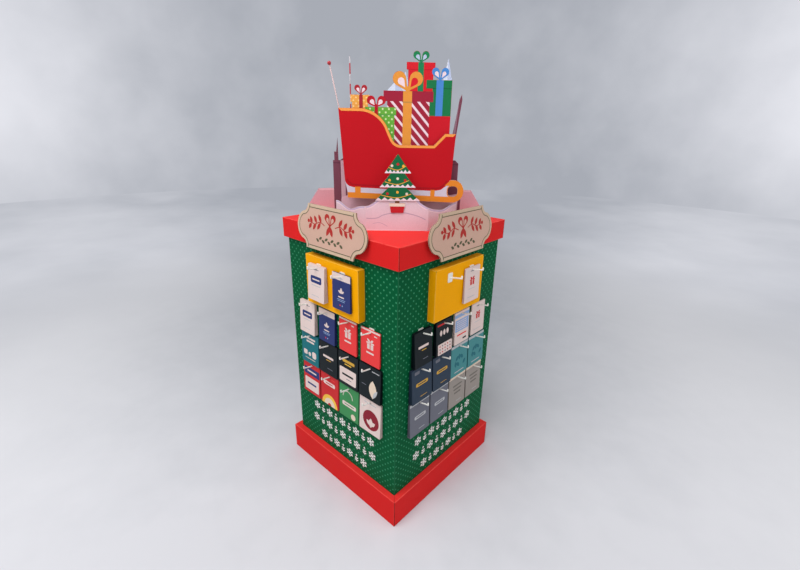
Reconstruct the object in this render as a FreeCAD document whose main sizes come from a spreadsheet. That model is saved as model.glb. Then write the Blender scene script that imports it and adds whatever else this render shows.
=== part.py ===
import FreeCAD, Part
import math
import os
import re
import Sketcher
from FreeCAD import Placement, Rotation, Vector

# Cardboard display stand: a square printed sleeve between a red tray and a red cap, with hooks
# and hanging card stacks on two faces and a die-cut winter scene standing on the cap.
# Frame: origin under the middle of the tray, +Z up, the two dressed faces look along -Y ("left")
# and +X ("right"), and the scene on the cap faces the corner between them.

doc = FreeCAD.newDocument("display_stand")
sheet = doc.addObject("Spreadsheet::Sheet", "Sizes")

SIZES = [
    # The three boxes of the carcass
    ("board", 4, "corrugated board of the tray, sleeve, cap and dividers"),
    ("body_width", 560, "outside width of the square sleeve"),
    ("stand_height", 1040, "floor to the top of the cap"),
    ("tray_height", 114, "height of the bottom tray"),
    ("tray_overhang", 24, "tray wall outside the sleeve"),
    ("tray_clearance", 0.5, "gap between the sleeve and the tray's inner ply"),
    ("cap_skirt", 72, "height of the cap's skirt"),
    ("cap_overhang", 12, "cap skirt outside the sleeve"),
    ("cap_clearance", 1, "gap between the sleeve and the skirt's inner ply"),
    ("ply_end_gap", 1, "gap between an inner ply's edge and its panel"),
    ("fold_rounding", 2.5, "outside radius of a rolled fold"),
    ("mitre_gap", 1, "open joint at each tray corner"),
    ("seam_gap", 0.8, "open joint at the sleeve's glued corner"),
    ("glue_flap", 40, "width of the sleeve's glue flap"),
    # The cross of dividers inside the sleeve
    ("divider_clearance", 1, "gap between a divider's edge and the sleeve"),
    ("slot_clearance", 0.3, "play on each side of a divider in the other's slot"),
    # Hooks and their layout on each dressed face
    ("column_pitch", 112, "between columns of hooks"),
    ("row_pitch", 134, "between rows of hooks"),
    ("top_row_drop", 30, "hooks of the top row below the yellow tray"),
    ("plate_width", 24, "hook back plate"),
    ("plate_height", 32, "hook back plate"),
    ("plate_thickness", 2, "hook back plate"),
    ("plate_rounding", 4, "hook back plate corners"),
    ("prong_spacing", 18, "between the two prongs of a hook"),
    ("prong_diameter", 5.8, "prong through the board"),
    ("prong_clearance", 0.4, "play around a prong"),
    ("barb_diameter", 8.6, "barb behind the board"),
    ("barb_length", 2, "barb behind the board"),
    ("barb_clearance", 0.3, "between the barb and the board"),
    ("arm_length", 46, "hook arm along its slope"),
    ("arm_diameter", 5, "hook arm"),
    ("arm_slope", 10, "rise of the arm in degrees"),
    ("tip_height", 7, "upturned end of the arm"),
    # Card stacks
    ("narrow_card_width", 90, "small carrier card"),
    ("narrow_card_height", 127, "small carrier card"),
    ("wide_card_width", 105, "large carrier card"),
    ("wide_card_height", 130, "large carrier card"),
    ("long_card_height", 136, "large carrier card of the bottom row"),
    ("card_rounding", 3, "card corners"),
    ("hang_hole", 9, "punched hole"),
    ("hole_below_top", 12, "top edge to the hole's middle"),
    ("hang_clearance", 0.3, "between the hole's top and the arm"),
    ("plate_to_card", 1, "between the back plate and the rearmost card"),
    ("thin_stack_top", 4, "thickness at the top of a thin stack"),
    ("thin_stack_bottom", 7, "thickness at its bottom, where the cards fan out"),
    ("middle_stack_top", 6.5, "thickness at the top of a middling stack"),
    ("middle_stack_bottom", 12, "thickness at its bottom"),
    ("thick_stack_top", 10, "thickness at the top of a thick stack"),
    ("thick_stack_bottom", 17, "thickness at its bottom"),
    # Yellow trays glued to the two dressed faces
    ("panel_width", 272, "yellow tray"),
    ("panel_height", 180, "yellow tray"),
    ("panel_depth", 28, "yellow tray"),
    ("panel_board", 3, "board of the yellow tray"),
    ("panel_drop", 102, "yellow tray's upper edge below the cap's top"),
    ("panel_hook_drop", 38, "hooks on the yellow tray below its upper edge"),
    ("panel_hook_pitch", 124, "between the two hooks on the yellow tray"),
    # Plaques on the cap's skirt
    ("plaque_straight", 240, "straight top and bottom edges"),
    ("plaque_height", 148, "plaque"),
    ("plaque_shoulder", 25, "width of each hollowed corner"),
    ("plaque_end_height", 92, "height of the bulging end"),
    ("plaque_bulge", 30, "bulge of the end"),
    ("plaque_thickness", 5, "plaque board"),
    ("plaque_drop", 1, "plaque's middle below the cap's top"),
    ("plaque_standoff", 20, "from the sleeve's face to the back of the plaque's middle"),
    ("plaque_lean", 6, "lean in degrees, the lower edge further out"),
    ("spacer_width", 180, "wedge between skirt and plaque"),
    ("spacer_margin", 8, "skirt left free above and below the wedge"),
    # Sheets of the scene on the cap, measured in the scene's own frame
    ("header_board", 3, "board of the scene's sheets"),
    ("tab_width", 50, "tab through the cap"),
    ("tab_drop", 10, "tab below the cap's panel"),
    ("tab_clearance", 0.4, "play around a tab"),
    ("drift_setback", 209, "front of the snow drift, back from the cap's front corner"),
    ("drift_front_width", 202, "flat front of the snow drift"),
    ("drift_wing", 98, "each folded wing, seen from the front"),
    ("drift_fold", 30, "fold of the wings in degrees"),
    ("drift_peak", 118, "top of the drift's middle"),
    ("drift_dip", 65, "hollows beside its middle"),
    ("drift_left_end", 87, "drift at its left end"),
    ("drift_right_end", 85, "drift at its right end"),
    ("drift_tab_spacing", 100, "between its two tabs"),
    ("sleigh_setback", 245, "front of the sleigh sheet, back from that corner"),
    ("sleigh_left", 181, "back of the sleigh, from the middle"),
    ("sleigh_right", 180, "nose of the sleigh, from the middle"),
    ("sleigh_back_height", 366, "top of its back"),
    ("sleigh_back_flat", 69, "level top of its back"),
    ("sleigh_bend_drop", 48, "drop of the bend behind the seat"),
    ("sleigh_bend_width", 77, "width of that bend"),
    ("sleigh_bend_radius", 96, "radius of that bend"),
    ("sleigh_seat_height", 263, "its low side"),
    ("sleigh_seat_start", 12, "start of the low side, right of the middle"),
    ("sleigh_seat_rise", 18, "rise of the hollow at its start"),
    ("sleigh_seat_radius", 30, "radius of that hollow"),
    ("sleigh_nose_height", 298, "top of its nose"),
    ("sleigh_nose_flat", 34, "level top of the nose"),
    ("sleigh_nose_slope", 34, "slope up to the nose"),
    ("sleigh_floor", 132, "underside of its body"),
    ("sleigh_corner", 20, "rise of the body's lower corners"),
    ("sleigh_rake", 15, "lean of its back"),
    ("runner_inset", 22, "tail of the runner, in from the back"),
    ("runner_left_height", 99, "underside of the runner at its tail"),
    ("runner_right_height", 87, "underside of the runner at its curl"),
    ("runner_thickness", 18, "runner"),
    ("curl_reach", 36, "curl beyond the body"),
    ("curl_hole", 32, "open square in the curl"),
    ("curl_hole_rounding", 12, "corners of that hole"),
    ("gifts_setback", 256, "front of the gift sheet, back from that corner"),
    ("gifts_bottom", 232, "hidden lower edge of the gift sheet"),
    ("gifts_margin", 1, "hidden edges of the gift sheet below the ones that cover them"),
    ("gifts_left", 140, "left edge of the gift sheet, from the middle"),
    ("gifts_right", 161, "its right edge"),
    ("small_gift_width", 58, "small gift on the left"),
    ("small_gift_top", 404, "its lid"),
    ("dotted_gift_left", 101, "dotted gift's lid, left of the middle"),
    ("dotted_gift_width", 95, "its lid"),
    ("dotted_gift_top", 371, "its lid"),
    ("striped_gift_left", 45, "striped gift's lid, left of the middle"),
    ("striped_gift_width", 151, "its lid"),
    ("striped_gift_top", 417, "its lid"),
    ("gift_lid_height", 29, "height of a large lid"),
    ("gift_lid_overhang", 11, "lid beyond its box"),
    ("top_gift_left", 23, "top gift's lid, right of the middle"),
    ("top_gift_width", 85, "its lid"),
    ("top_gift_height", 78, "top gift above the striped one"),
    ("small_lid_height", 19, "lid of the top gift"),
    ("small_lid_overhang", 5, "lid of the top gift beyond its box"),
    ("tall_gift_left", 83, "tall gift, right of the middle"),
    ("tall_gift_top", 449, "tall gift"),
    ("tall_gift_height", 100, "tall gift above the seat's back"),
    ("snow_peak_width", 48, "snowy peak behind the striped gift"),
    ("snow_peak_height", 27, "its tip above the lid"),
    ("second_peak_width", 34, "peak beside it"),
    ("second_peak_height", 54, "its tip above the lid"),
    ("far_peak_inset", 50, "snowy peak behind the tall gift, from the gift's left edge"),
    ("far_peak_width", 26, "that peak"),
    ("far_peak_height", 59, "its tip above the gift"),
    ("village_setback", 271, "front of the village sheet, back from that corner"),
    ("village_half", 205, "half width of the village sheet"),
    ("village_band", 150, "height of its low middle"),
    ("tower_height", 213, "its towers"),
    ("tower_width", 22, "its towers"),
    ("house_width", 31, "low house beside the left tower"),
    ("turret_width", 14, "step beside the right tower"),
    ("tower_step", 5, "small steps of the towers' tops"),
    ("left_spire_height", 281, "tip of the left tower"),
    ("left_spire_foot", 13, "foot of the left tower's spire"),
    ("right_spire_height", 413, "tip of the leaning spire"),
    ("right_spire_foot", 16, "width of the leaning spire's foot"),
    ("right_spire_blade", 8, "its width below the tip"),
    ("right_spire_lean", 19, "lean of its tip"),
    ("village_tab_spacing", 160, "between its two tabs"),
    ("bank_setback", 413, "rear snow bank, back from that corner"),
    ("bank_base_half", 345, "half width of the rear snow bank's foot"),
    ("bank_top_half", 276, "half width of its top"),
    ("bank_height", 105, "rear snow bank"),
    ("bank_swell", 8, "rise of its middle"),
    ("bank_tab_spacing", 400, "between its two tabs"),
    ("sleigh_spacer_inset", 40, "blocks, in from the sleigh's ends"),
    ("sleigh_spacer_width", 40, "blocks between village and sleigh"),
    ("sleigh_spacer_height", 44, "blocks between village and sleigh"),
    ("gift_spacer_height", 22, "strip between gifts and sleigh"),
    ("gift_spacer_width", 200, "strip between gifts and sleigh"),
    ("fir_half", 70, "half width of the fir tree's lowest tier"),
    ("fir_foot", 59, "foot of its pot above the cap"),
    ("fir_height", 180, "fir tree with its pot"),
    ("ball_pole_setback", 323, "leaning pole, back from that corner"),
    ("pole_diameter", 4, "poles"),
    ("pole_clearance", 0.4, "play around a pole in the cap"),
    ("ball_diameter", 12, "ball on the leaning pole"),
    ("ball_pole_height", 495, "middle of the ball above the cap"),
    ("ball_pole_top", 212, "ball, left of the middle"),
    ("ball_pole_foot", 110, "foot of its pole, left of the middle"),
    ("striped_pole_height", 518, "striped pole above the cap"),
    ("striped_pole_place", 150, "striped pole, left of the middle"),
    ("striped_pole_setback", 339, "striped pole, back from that corner"),
]

for row, (alias, number, meaning) in enumerate(SIZES, start=1):
    sheet.set(f"A{row}", meaning)
    sheet.set(f"B{row}", str(number))
    sheet.setAlias(f"B{row}", alias)
doc.recompute()

ALIASES = {alias for alias, number, meaning in SIZES}
sub_parts = []
LEFT_FACE = 0
RIGHT_FACE = 90
HEADER_TURN = 45
# How far a cut runs past the board that it opens, and a pad into the one that it joins
THROUGH = 1
TOLERANCE = 1e-6
# The scene's sheets stand across the diagonal, at these distances from the cap's middle
CORNER_REACH = "(body_width / 2 + cap_overhang) * sqrt(2)"
DRIFT_DISTANCE = f"{CORNER_REACH} - drift_setback"
SLEIGH_DISTANCE = f"{CORNER_REACH} - sleigh_setback"
GIFTS_DISTANCE = f"{CORNER_REACH} - gifts_setback"
VILLAGE_DISTANCE = f"{CORNER_REACH} - village_setback"
BANK_DISTANCE = f"{CORNER_REACH} - bank_setback"


# Links between the sheet and the model

def keep(item, label):
    """Name a finished sub-part, so that it is written to a file."""
    item.Label = label
    sub_parts.append(item)


def size(alias):
    return float(sheet.get(alias))


def link(expression):
    """The same expression with each alias as a reference to its cell."""
    return re.sub(
        r"[a-z][a-z_]+",
        lambda word: "Sizes." + word.group() if word.group() in ALIASES else word.group(),
        str(expression),
    )


def bind(item, **properties):
    for name, expression in properties.items():
        item.setExpression(name, link(expression))


def value(expression):
    return float(sheet.evalExpression(link(expression)))


# Part primitives bound to the sheet

def slab(name, x, y, z):
    """A box between two expressions along each axis."""
    box = doc.addObject("Part::Box", name)
    for length, (low, high), axis in zip(("Length", "Width", "Height"), (x, y, z), "xyz"):
        box.setExpression(length, link(f"({high}) - ({low})"))
        box.setExpression(f"Placement.Base.{axis}", link(low))
    return box


def square_slab(name, half, low, high):
    across = (f"-({half})", half)
    return slab(name, across, across, (low, high))


def rod(name, diameter, length):
    cylinder = doc.addObject("Part::Cylinder", name)
    bind(cylinder, Radius=f"({diameter}) / 2", Height=length)
    return cylinder


def fuse(name, pieces):
    joined = doc.addObject("Part::MultiFuse", name)
    joined.Shapes = pieces
    joined.Refine = True
    return joined


def cut(name, base, tool):
    result = doc.addObject("Part::Cut", name)
    result.Base = base
    result.Tool = tool
    return result


# Sketches bound to the sheet

def new_body(name):
    return doc.addObject("PartDesign::Body", name)


def new_sketch(body, name, role):
    plane = next(part for part in body.Origin.OriginFeatures if part.Role == role)
    sketch = body.newObject("Sketcher::SketchObject", name)
    sketch.AttachmentSupport = [(plane, "")]
    sketch.MapMode = "FlatFace"
    return sketch


def pin_point(sketch, geometry, end, x, y):
    """Hold one sketch point at a pair of expressions measured from the origin."""
    for kind, expression, axis in (("DistanceX", x, -2), ("DistanceY", y, -1)):
        amount = value(expression)
        if abs(amount) < TOLERANCE:
            sketch.addConstraint(Sketcher.Constraint("PointOnObject", geometry, end, axis))
            continue
        if amount > 0:
            rule = Sketcher.Constraint(kind, -1, 1, geometry, end, amount)
            text = expression
        else:
            rule = Sketcher.Constraint(kind, geometry, end, -1, 1, -amount)
            text = f"-({expression})"
        index = sketch.addConstraint(rule)
        sketch.setExpression(f"Constraints[{index}]", link(text))


def arc_between(start, finish, radius, clockwise, long_way):
    """The short or the long arc of a circle between two points."""
    chord = finish - start
    middle = (start + finish) * 0.5
    rise = math.sqrt(max(radius ** 2 - chord.Length ** 2 / 4, 0))
    side = Vector(-chord.y, chord.x, 0).normalize() * rise
    centre = middle - side if clockwise != long_way else middle + side
    first, last = (finish, start) if clockwise else (start, finish)
    circle = Part.Circle(centre, Vector(0, 0, 1), radius)
    return Part.ArcOfCircle(circle, circle.parameter(first), circle.parameter(last))


def outline(sketch, corners):
    """A closed outline: (x, y) starts a straight side, (x, y, radius, turn) starts an arc.

    The turn is left, right, long left or long right.
    """
    places = [Vector(value(corner[0]), value(corner[1]), 0) for corner in corners]
    ends = []
    for number, corner in enumerate(corners):
        start = places[number]
        finish = places[(number + 1) % len(places)]
        if len(corner) == 2:
            index = sketch.addGeometry(Part.LineSegment(start, finish), False)
            ends.append((index, 1, 2))
            continue
        radius, turn = corner[2:]
        clockwise = turn.endswith("right")
        arc = arc_between(start, finish, value(radius), clockwise, turn.startswith("long"))
        index = sketch.addGeometry(arc, False)
        rule = sketch.addConstraint(Sketcher.Constraint("Radius", index, value(radius)))
        sketch.setExpression(f"Constraints[{rule}]", link(radius))
        ends.append((index, 2, 1) if clockwise else (index, 1, 2))
    for number, (index, first, last) in enumerate(ends):
        following = ends[(number + 1) % len(ends)]
        sketch.addConstraint(
            Sketcher.Constraint("Coincident", index, last, following[0], following[1])
        )
    for (index, first, last), corner in zip(ends, corners):
        pin_point(sketch, index, first, corner[0], corner[1])


def rectangle(sketch, left, right, low, high):
    outline(sketch, [(left, low), (right, low), (right, high), (left, high)])


def circle_holes(sketch, places, diameter):
    for x, y in places:
        middle = Vector(value(x), value(y), 0)
        index = sketch.addGeometry(Part.Circle(middle, Vector(0, 0, 1), value(diameter) / 2), False)
        rule = sketch.addConstraint(Sketcher.Constraint("Diameter", index, value(diameter)))
        sketch.setExpression(f"Constraints[{rule}]", link(diameter))
        pin_point(sketch, index, 3, x, y)


def pad(body, sketch, length, reverse=False, both_ways=False):
    feature = body.newObject("PartDesign::Pad", sketch.Name + "_pad")
    feature.Profile = sketch
    feature.Reversed = reverse
    feature.Midplane = both_ways
    bind(feature, Length=length)
    return feature


def pocket(body, sketch, length, reverse=True):
    feature = body.newObject("PartDesign::Pocket", sketch.Name + "_cut")
    feature.Profile = sketch
    feature.Reversed = reverse
    bind(feature, Length=length)
    return feature


def place(item, x, y, z, turn=0):
    item.Placement = Placement(Vector(), Rotation(Vector(0, 0, 1), turn))
    for axis, expression in zip("xyz", (x, y, z)):
        item.setExpression(f"Placement.Base.{axis}", link(expression))


def place_on_face(item, face, along, outward, height):
    """Put a piece on the left or right face, so far along it and so far out of it."""
    out = f"body_width / 2 + ({outward})"
    if face == LEFT_FACE:
        place(item, along, f"-({out})", height, face)
    else:
        place(item, out, along, height, face)


def place_on_cap(item, distance):
    """Stand a piece of the scene on the cap, facing the front corner."""
    shift = f"({distance}) * {math.sqrt(0.5)}"
    place(item, shift, f"-({shift})", "stand_height", HEADER_TURN)


# The rolled trays: bottom tray and cap

def rolled_tray(name, outer, clear, depth):
    """A tray whose walls roll over at the rim and come down again on the inside."""
    solid = square_slab(name + "_solid", outer, "0", depth)
    doc.recompute()
    rounded = doc.addObject("Part::Fillet", name + "_rounded")
    rounded.Base = solid
    rounding = size("fold_rounding")
    rounded.Edges = [
        (number, rounding, rounding)
        for number, edge in enumerate(solid.Shape.Edges, start=1)
        if edge.BoundBox.ZLength < TOLERANCE
    ]
    well = square_slab(name + "_well", clear, "board", f"{depth} + {THROUGH}")
    rolled = cut(
        name + "_roll",
        square_slab(name + "_roll_out", f"{outer} - board", "board", f"{depth} - board"),
        square_slab(name + "_roll_in", f"{clear} + board", "board", f"{depth} - board"),
    )
    ply_end = square_slab(name + "_ply_end", f"{clear} + board", "board", "board + ply_end_gap")
    reach = f"({outer}) * 2"
    mitres = []
    for turn in (45, 135):
        blade = slab(
            f"{name}_mitre_{turn}",
            (f"-({reach})", reach),
            ("-mitre_gap / 2", "mitre_gap / 2"),
            ("board", f"{depth} + {THROUGH}"),
        )
        holder = doc.addObject("Part::Feature", f"{name}_blade_{turn}")
        doc.recompute()
        turned = blade.Shape.copy()
        turned.rotate(Vector(), Vector(0, 0, 1), turn)
        holder.Shape = turned
        mitres.append(holder)
    hollow = fuse(name + "_hollow", [well, rolled, ply_end] + mitres)
    return cut(name, rounded, hollow)


base_tray = rolled_tray(
    "base_tray",
    "body_width / 2 + tray_overhang",
    "body_width / 2 + tray_clearance",
    "tray_height",
)
keep(base_tray, "base_tray")


def header_slot(name, along, distance):
    """A slot in the cap for one tab of a sheet whose front stands at the given distance."""
    body = new_body(name)
    sketch = new_sketch(body, name + "_plan", "XY_Plane")
    half = "tab_width / 2 + tab_clearance"
    front = f"-({distance}) - tab_clearance"
    back = f"-({distance}) + header_board + tab_clearance"
    rectangle(sketch, f"({along}) - ({half})", f"({along}) + ({half})", front, back)
    pad(body, sketch, f"board + 2 * {THROUGH}")
    place(body, "0", "0", f"stand_height - board - {THROUGH}", HEADER_TURN)
    return body


STANDING_SHEETS = [
    ("drift", "drift_tab_spacing", DRIFT_DISTANCE),
    ("village", "village_tab_spacing", VILLAGE_DISTANCE),
    ("bank", "bank_tab_spacing", BANK_DISTANCE),
]

cap_cuts = []
for sheet_name, spacing, distance in STANDING_SHEETS:
    for side, sign in (("left", "-"), ("right", "")):
        cap_cuts.append(header_slot(f"{sheet_name}_slot_{side}", f"{sign}{spacing} / 2", distance))


def header_point(along, distance, height):
    """A point of the scene in the stand's frame."""
    turn = Rotation(Vector(0, 0, 1), HEADER_TURN)
    return turn.multVec(Vector(along, -distance, 0)) + Vector(0, 0, size("stand_height") + height)


def standing_rod(name, diameter, foot, head):
    """A rod from below the cap's panel, through its foot on the cap, to its head."""
    span = head - foot
    direction = Vector(span).normalize()
    below = size("board") + size("tab_drop")
    item = rod(name, diameter, span.Length + below)
    item.Placement = Placement(foot - direction * below, Rotation(Vector(0, 0, 1), direction))
    return item


ball_distance = value(f"{CORNER_REACH} - ball_pole_setback")
ball_foot = header_point(-size("ball_pole_foot"), ball_distance, 0)
ball_head = header_point(-size("ball_pole_top"), ball_distance, size("ball_pole_height"))
stripe_distance = value(f"{CORNER_REACH} - striped_pole_setback")
stripe_spot = (-size("striped_pole_place"), stripe_distance)
stripe_foot = header_point(*stripe_spot, 0)
stripe_head = header_point(*stripe_spot, size("striped_pole_height"))
pole_hole = "pole_diameter + 2 * pole_clearance"
cap_cuts.append(standing_rod("ball_pole_hole", pole_hole, ball_foot, ball_head))
cap_cuts.append(standing_rod("striped_pole_hole", pole_hole, stripe_foot, stripe_head))

cap_body = rolled_tray(
    "cap_tray",
    "body_width / 2 + cap_overhang",
    "body_width / 2 + cap_clearance",
    "cap_skirt",
)
doc.recompute()
turned_cap = doc.addObject("Part::Feature", "cap_turned")
upside_down = cap_body.Shape.copy()
upside_down.rotate(Vector(), Vector(1, 0, 0), 180)
upside_down.translate(Vector(0, 0, size("stand_height")))
turned_cap.Shape = upside_down
cap_lid = cut("cap_lid", turned_cap, fuse("cap_openings", cap_cuts))
keep(cap_lid, "cap_lid")


# The sleeve with its glued corner and its hook holes

COLUMNS = (-1.5, -0.5, 0.5, 1.5)
# The card formats from the top row down
ROW_FORMATS = ("narrow", "wide", "long")
PANEL_TOP = "stand_height - panel_drop"
PANEL_HOOKS = f"{PANEL_TOP} - panel_hook_drop"
PANEL_MIDDLE = f"{PANEL_TOP} - panel_height / 2"
TOP_ROW = f"{PANEL_TOP} - panel_height - top_row_drop"


def grid_places():
    for row, card_format in enumerate(ROW_FORMATS):
        for column in COLUMNS:
            yield row, column, f"{column} * column_pitch", f"{TOP_ROW} - {row} * row_pitch"


def prong_places(along, height):
    return [
        (along, f"{height} + prong_spacing / 2"),
        (along, f"{height} - prong_spacing / 2"),
    ]


body_sleeve = new_body("body_sleeve")
walls = new_sketch(body_sleeve, "sleeve_walls", "XY_Plane")
outer_half = "body_width / 2"
inner_half = "body_width / 2 - board"
rectangle(walls, f"-({outer_half})", outer_half, f"-({outer_half})", outer_half)
rectangle(walls, f"-({inner_half})", inner_half, f"-({inner_half})", inner_half)
pad(body_sleeve, walls, "stand_height - 2 * board")
flap = new_sketch(body_sleeve, "sleeve_flap", "XY_Plane")
rectangle(
    flap,
    f"-({inner_half})",
    f"-({inner_half}) + glue_flap",
    f"{inner_half} - board",
    inner_half,
)
pad(body_sleeve, flap, "stand_height - 2 * board")
seam = new_sketch(body_sleeve, "sleeve_seam", "XY_Plane")
rectangle(
    seam,
    f"-({inner_half})",
    f"-({inner_half}) + seam_gap",
    inner_half,
    f"{outer_half} + {THROUGH}",
)
pocket(body_sleeve, seam, "stand_height")
for role, side in (("XZ_Plane", "left"), ("YZ_Plane", "right")):
    punched = new_sketch(body_sleeve, f"hook_holes_{side}", role)
    prongs = []
    for row, column, along, height in grid_places():
        prongs += prong_places(along, f"{height} - board")
    circle_holes(punched, prongs, "prong_diameter + 2 * prong_clearance")
    pocket(body_sleeve, punched, f"{outer_half} + {THROUGH}")
doc.recompute()
folds = []
for number, edge in enumerate(body_sleeve.Tip.Shape.Edges, start=1):
    box = edge.BoundBox
    across = abs(box.Center.x) + abs(box.Center.y)
    glued = box.Center.x < 0 < box.Center.y
    if box.ZLength > size("stand_height") / 2 and across > size("body_width") - 1 and not glued:
        folds.append(f"Edge{number}")
punched_sleeve = body_sleeve.Tip
rounded_sleeve = body_sleeve.newObject("PartDesign::Fillet", "sleeve_folds")
rounded_sleeve.Base = (punched_sleeve, folds)
bind(rounded_sleeve, Radius="fold_rounding")
place(body_sleeve, "0", "0", "board")
keep(body_sleeve, "body_sleeve")


# Two dividers, halved into each other

def divider(label, turn, slot_low, slot_high):
    body = new_body(label)
    sketch = new_sketch(body, label + "_outline", "XZ_Plane")
    reach = "body_width / 2 - board - divider_clearance"
    slot = "board / 2 + slot_clearance"
    top = "stand_height - 2 * board"
    outer = [(f"-({reach})", "0"), (reach, "0"), (reach, top), (f"-({reach})", top)]
    notch = [
        (slot, slot_high),
        (slot, slot_low),
        (f"-({slot})", slot_low),
        (f"-({slot})", slot_high),
    ]
    if slot_low == "0":
        corners = [outer[0], notch[2], notch[3], notch[0], notch[1], outer[1], outer[2], outer[3]]
    else:
        corners = [outer[0], outer[1], outer[2], notch[0], notch[1], notch[2], notch[3], outer[3]]
    outline(sketch, corners)
    pad(body, sketch, "board", both_ways=True)
    place(body, "0", "0", "board", turn)
    keep(body, label)


middle = "(stand_height - 2 * board) / 2"
divider("divider_slot_up", 0, f"{middle} - slot_clearance", "stand_height - 2 * board")
divider("divider_slot_down", 90, "0", f"{middle} + slot_clearance")


# Yellow trays on the two dressed faces

def yellow_panel(label, face):
    body = new_body(label)
    half_width = "panel_width / 2"
    half_height = "panel_height / 2"
    inside_width = "panel_width / 2 - panel_board"
    inside_height = "panel_height / 2 - panel_board"
    depth = "panel_depth - panel_board"
    front = new_sketch(body, label + "_front", "XZ_Plane")
    rectangle(front, f"-{half_width}", half_width, f"-{half_height}", half_height)
    pad(body, front, "panel_depth")
    inside = new_sketch(body, label + "_inside", "XZ_Plane")
    rectangle(
        inside, f"-({inside_width})", inside_width, f"-({inside_height})", inside_height
    )
    pocket(body, inside, depth)
    joints = new_sketch(body, label + "_corner_joints", "XZ_Plane")
    low = f"{inside_width} - seam_gap"
    for left, right in ((low, inside_width), (f"-({inside_width})", f"-({low})")):
        rectangle(joints, left, right, inside_height, f"{half_height} + {THROUGH}")
        rectangle(joints, left, right, f"-({half_height}) - {THROUGH}", f"-({inside_height})")
    pocket(body, joints, depth)
    punched = new_sketch(body, label + "_hook_holes", "XZ_Plane")
    height = "panel_height / 2 - panel_hook_drop"
    prongs = []
    for sign in ("-", ""):
        prongs += prong_places(f"{sign}panel_hook_pitch / 2", height)
    circle_holes(punched, prongs, "prong_diameter + 2 * prong_clearance")
    pocket(body, punched, f"panel_depth + {THROUGH}")
    place_on_face(body, face, "0", "0", PANEL_MIDDLE)
    keep(body, label)


yellow_panel("yellow_panel_left", LEFT_FACE)
yellow_panel("yellow_panel_right", RIGHT_FACE)


# Hooks: one of each kind is built, and the groups are copies of it

def hook(name, wall):
    """A push-in hook whose back plate lies on a wall of the given thickness."""
    plate = slab(
        name + "_plate",
        ("-plate_width / 2", "plate_width / 2"),
        ("-plate_thickness", "0"),
        ("-plate_height / 2", "plate_height / 2"),
    )
    doc.recompute()
    rounded = doc.addObject("Part::Fillet", name + "_rounded")
    rounded.Base = plate
    rounding = size("plate_rounding")
    rounded.Edges = [
        (number, rounding, rounding)
        for number, edge in enumerate(plate.Shape.Edges, start=1)
        if edge.BoundBox.YLength > 0.5 * size("plate_thickness")
    ]
    pieces = [rounded]
    inward = Rotation(Vector(1, 0, 0), -90)
    for sign in (1, -1):
        side = "upper" if sign > 0 else "lower"
        height = sign * size("prong_spacing") / 2
        prong = rod(f"{name}_prong_{side}", "prong_diameter", f"{wall} + barb_clearance")
        prong.Placement = Placement(Vector(0, 0, height), inward)
        barb = rod(f"{name}_barb_{side}", "barb_diameter", "barb_length")
        back = size(wall) + size("barb_clearance")
        barb.Placement = Placement(Vector(0, back, height), inward)
        pieces += [prong, barb]
    slope = math.radians(size("arm_slope"))
    direction = Vector(0, -math.cos(slope), math.sin(slope))
    arm = rod(name + "_arm", "arm_diameter", "arm_length")
    arm_foot = Vector(0, -size("plate_thickness") / 2, 0)
    arm.Placement = Placement(arm_foot, Rotation(Vector(0, 0, 1), direction))
    arm_end = arm_foot + direction * size("arm_length")
    tip = rod(name + "_tip", "arm_diameter", "tip_height")
    tip.Placement = Placement(arm_end, Rotation())
    for part, height in (("heel", 0), ("knob", size("tip_height"))):
        ball = doc.addObject("Part::Sphere", f"{name}_{part}")
        bind(ball, Radius="arm_diameter / 2")
        ball.Placement = Placement(arm_end + Vector(0, 0, height), Rotation())
        pieces.append(ball)
    return fuse(name, pieces + [arm, tip])


def hook_group(label, master, face, outward, places):
    """Copies of a hook on one face, each a solid of its own in one node."""
    copies = []
    for along, height in places:
        copy = master.Shape.copy()
        copy.translate(Vector(value(along), -size("body_width") / 2 - value(outward), value(height)))
        copy.rotate(Vector(), Vector(0, 0, 1), face)
        copies.append(copy)
    group = doc.addObject("Part::Feature", label)
    group.Shape = Part.makeCompound(copies)
    keep(group, label)


wall_hook = hook("wall_hook", "board")
panel_hook = hook("panel_hook", "panel_board")
doc.recompute()
grid = [(along, height) for row, column, along, height in grid_places()]
panel_pair = [(f"{sign}panel_hook_pitch / 2", PANEL_HOOKS) for sign in ("-", "")]
for side, face in (("left", LEFT_FACE), ("right", RIGHT_FACE)):
    hook_group(f"hooks_{side}_face", wall_hook, face, "0", grid)
    hook_group(f"hooks_{side}_panel", panel_hook, face, "panel_depth", panel_pair)


# Card stacks, each on its own hook

CARD_FORMATS = {
    "narrow": ("narrow_card_width", "narrow_card_height"),
    "wide": ("wide_card_width", "wide_card_height"),
    "long": ("wide_card_width", "long_card_height"),
}
STACK_BULKS = {
    "thin": ("thin_stack_top", "thin_stack_bottom"),
    "middle": ("middle_stack_top", "middle_stack_bottom"),
    "thick": ("thick_stack_top", "thick_stack_bottom"),
}


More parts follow.
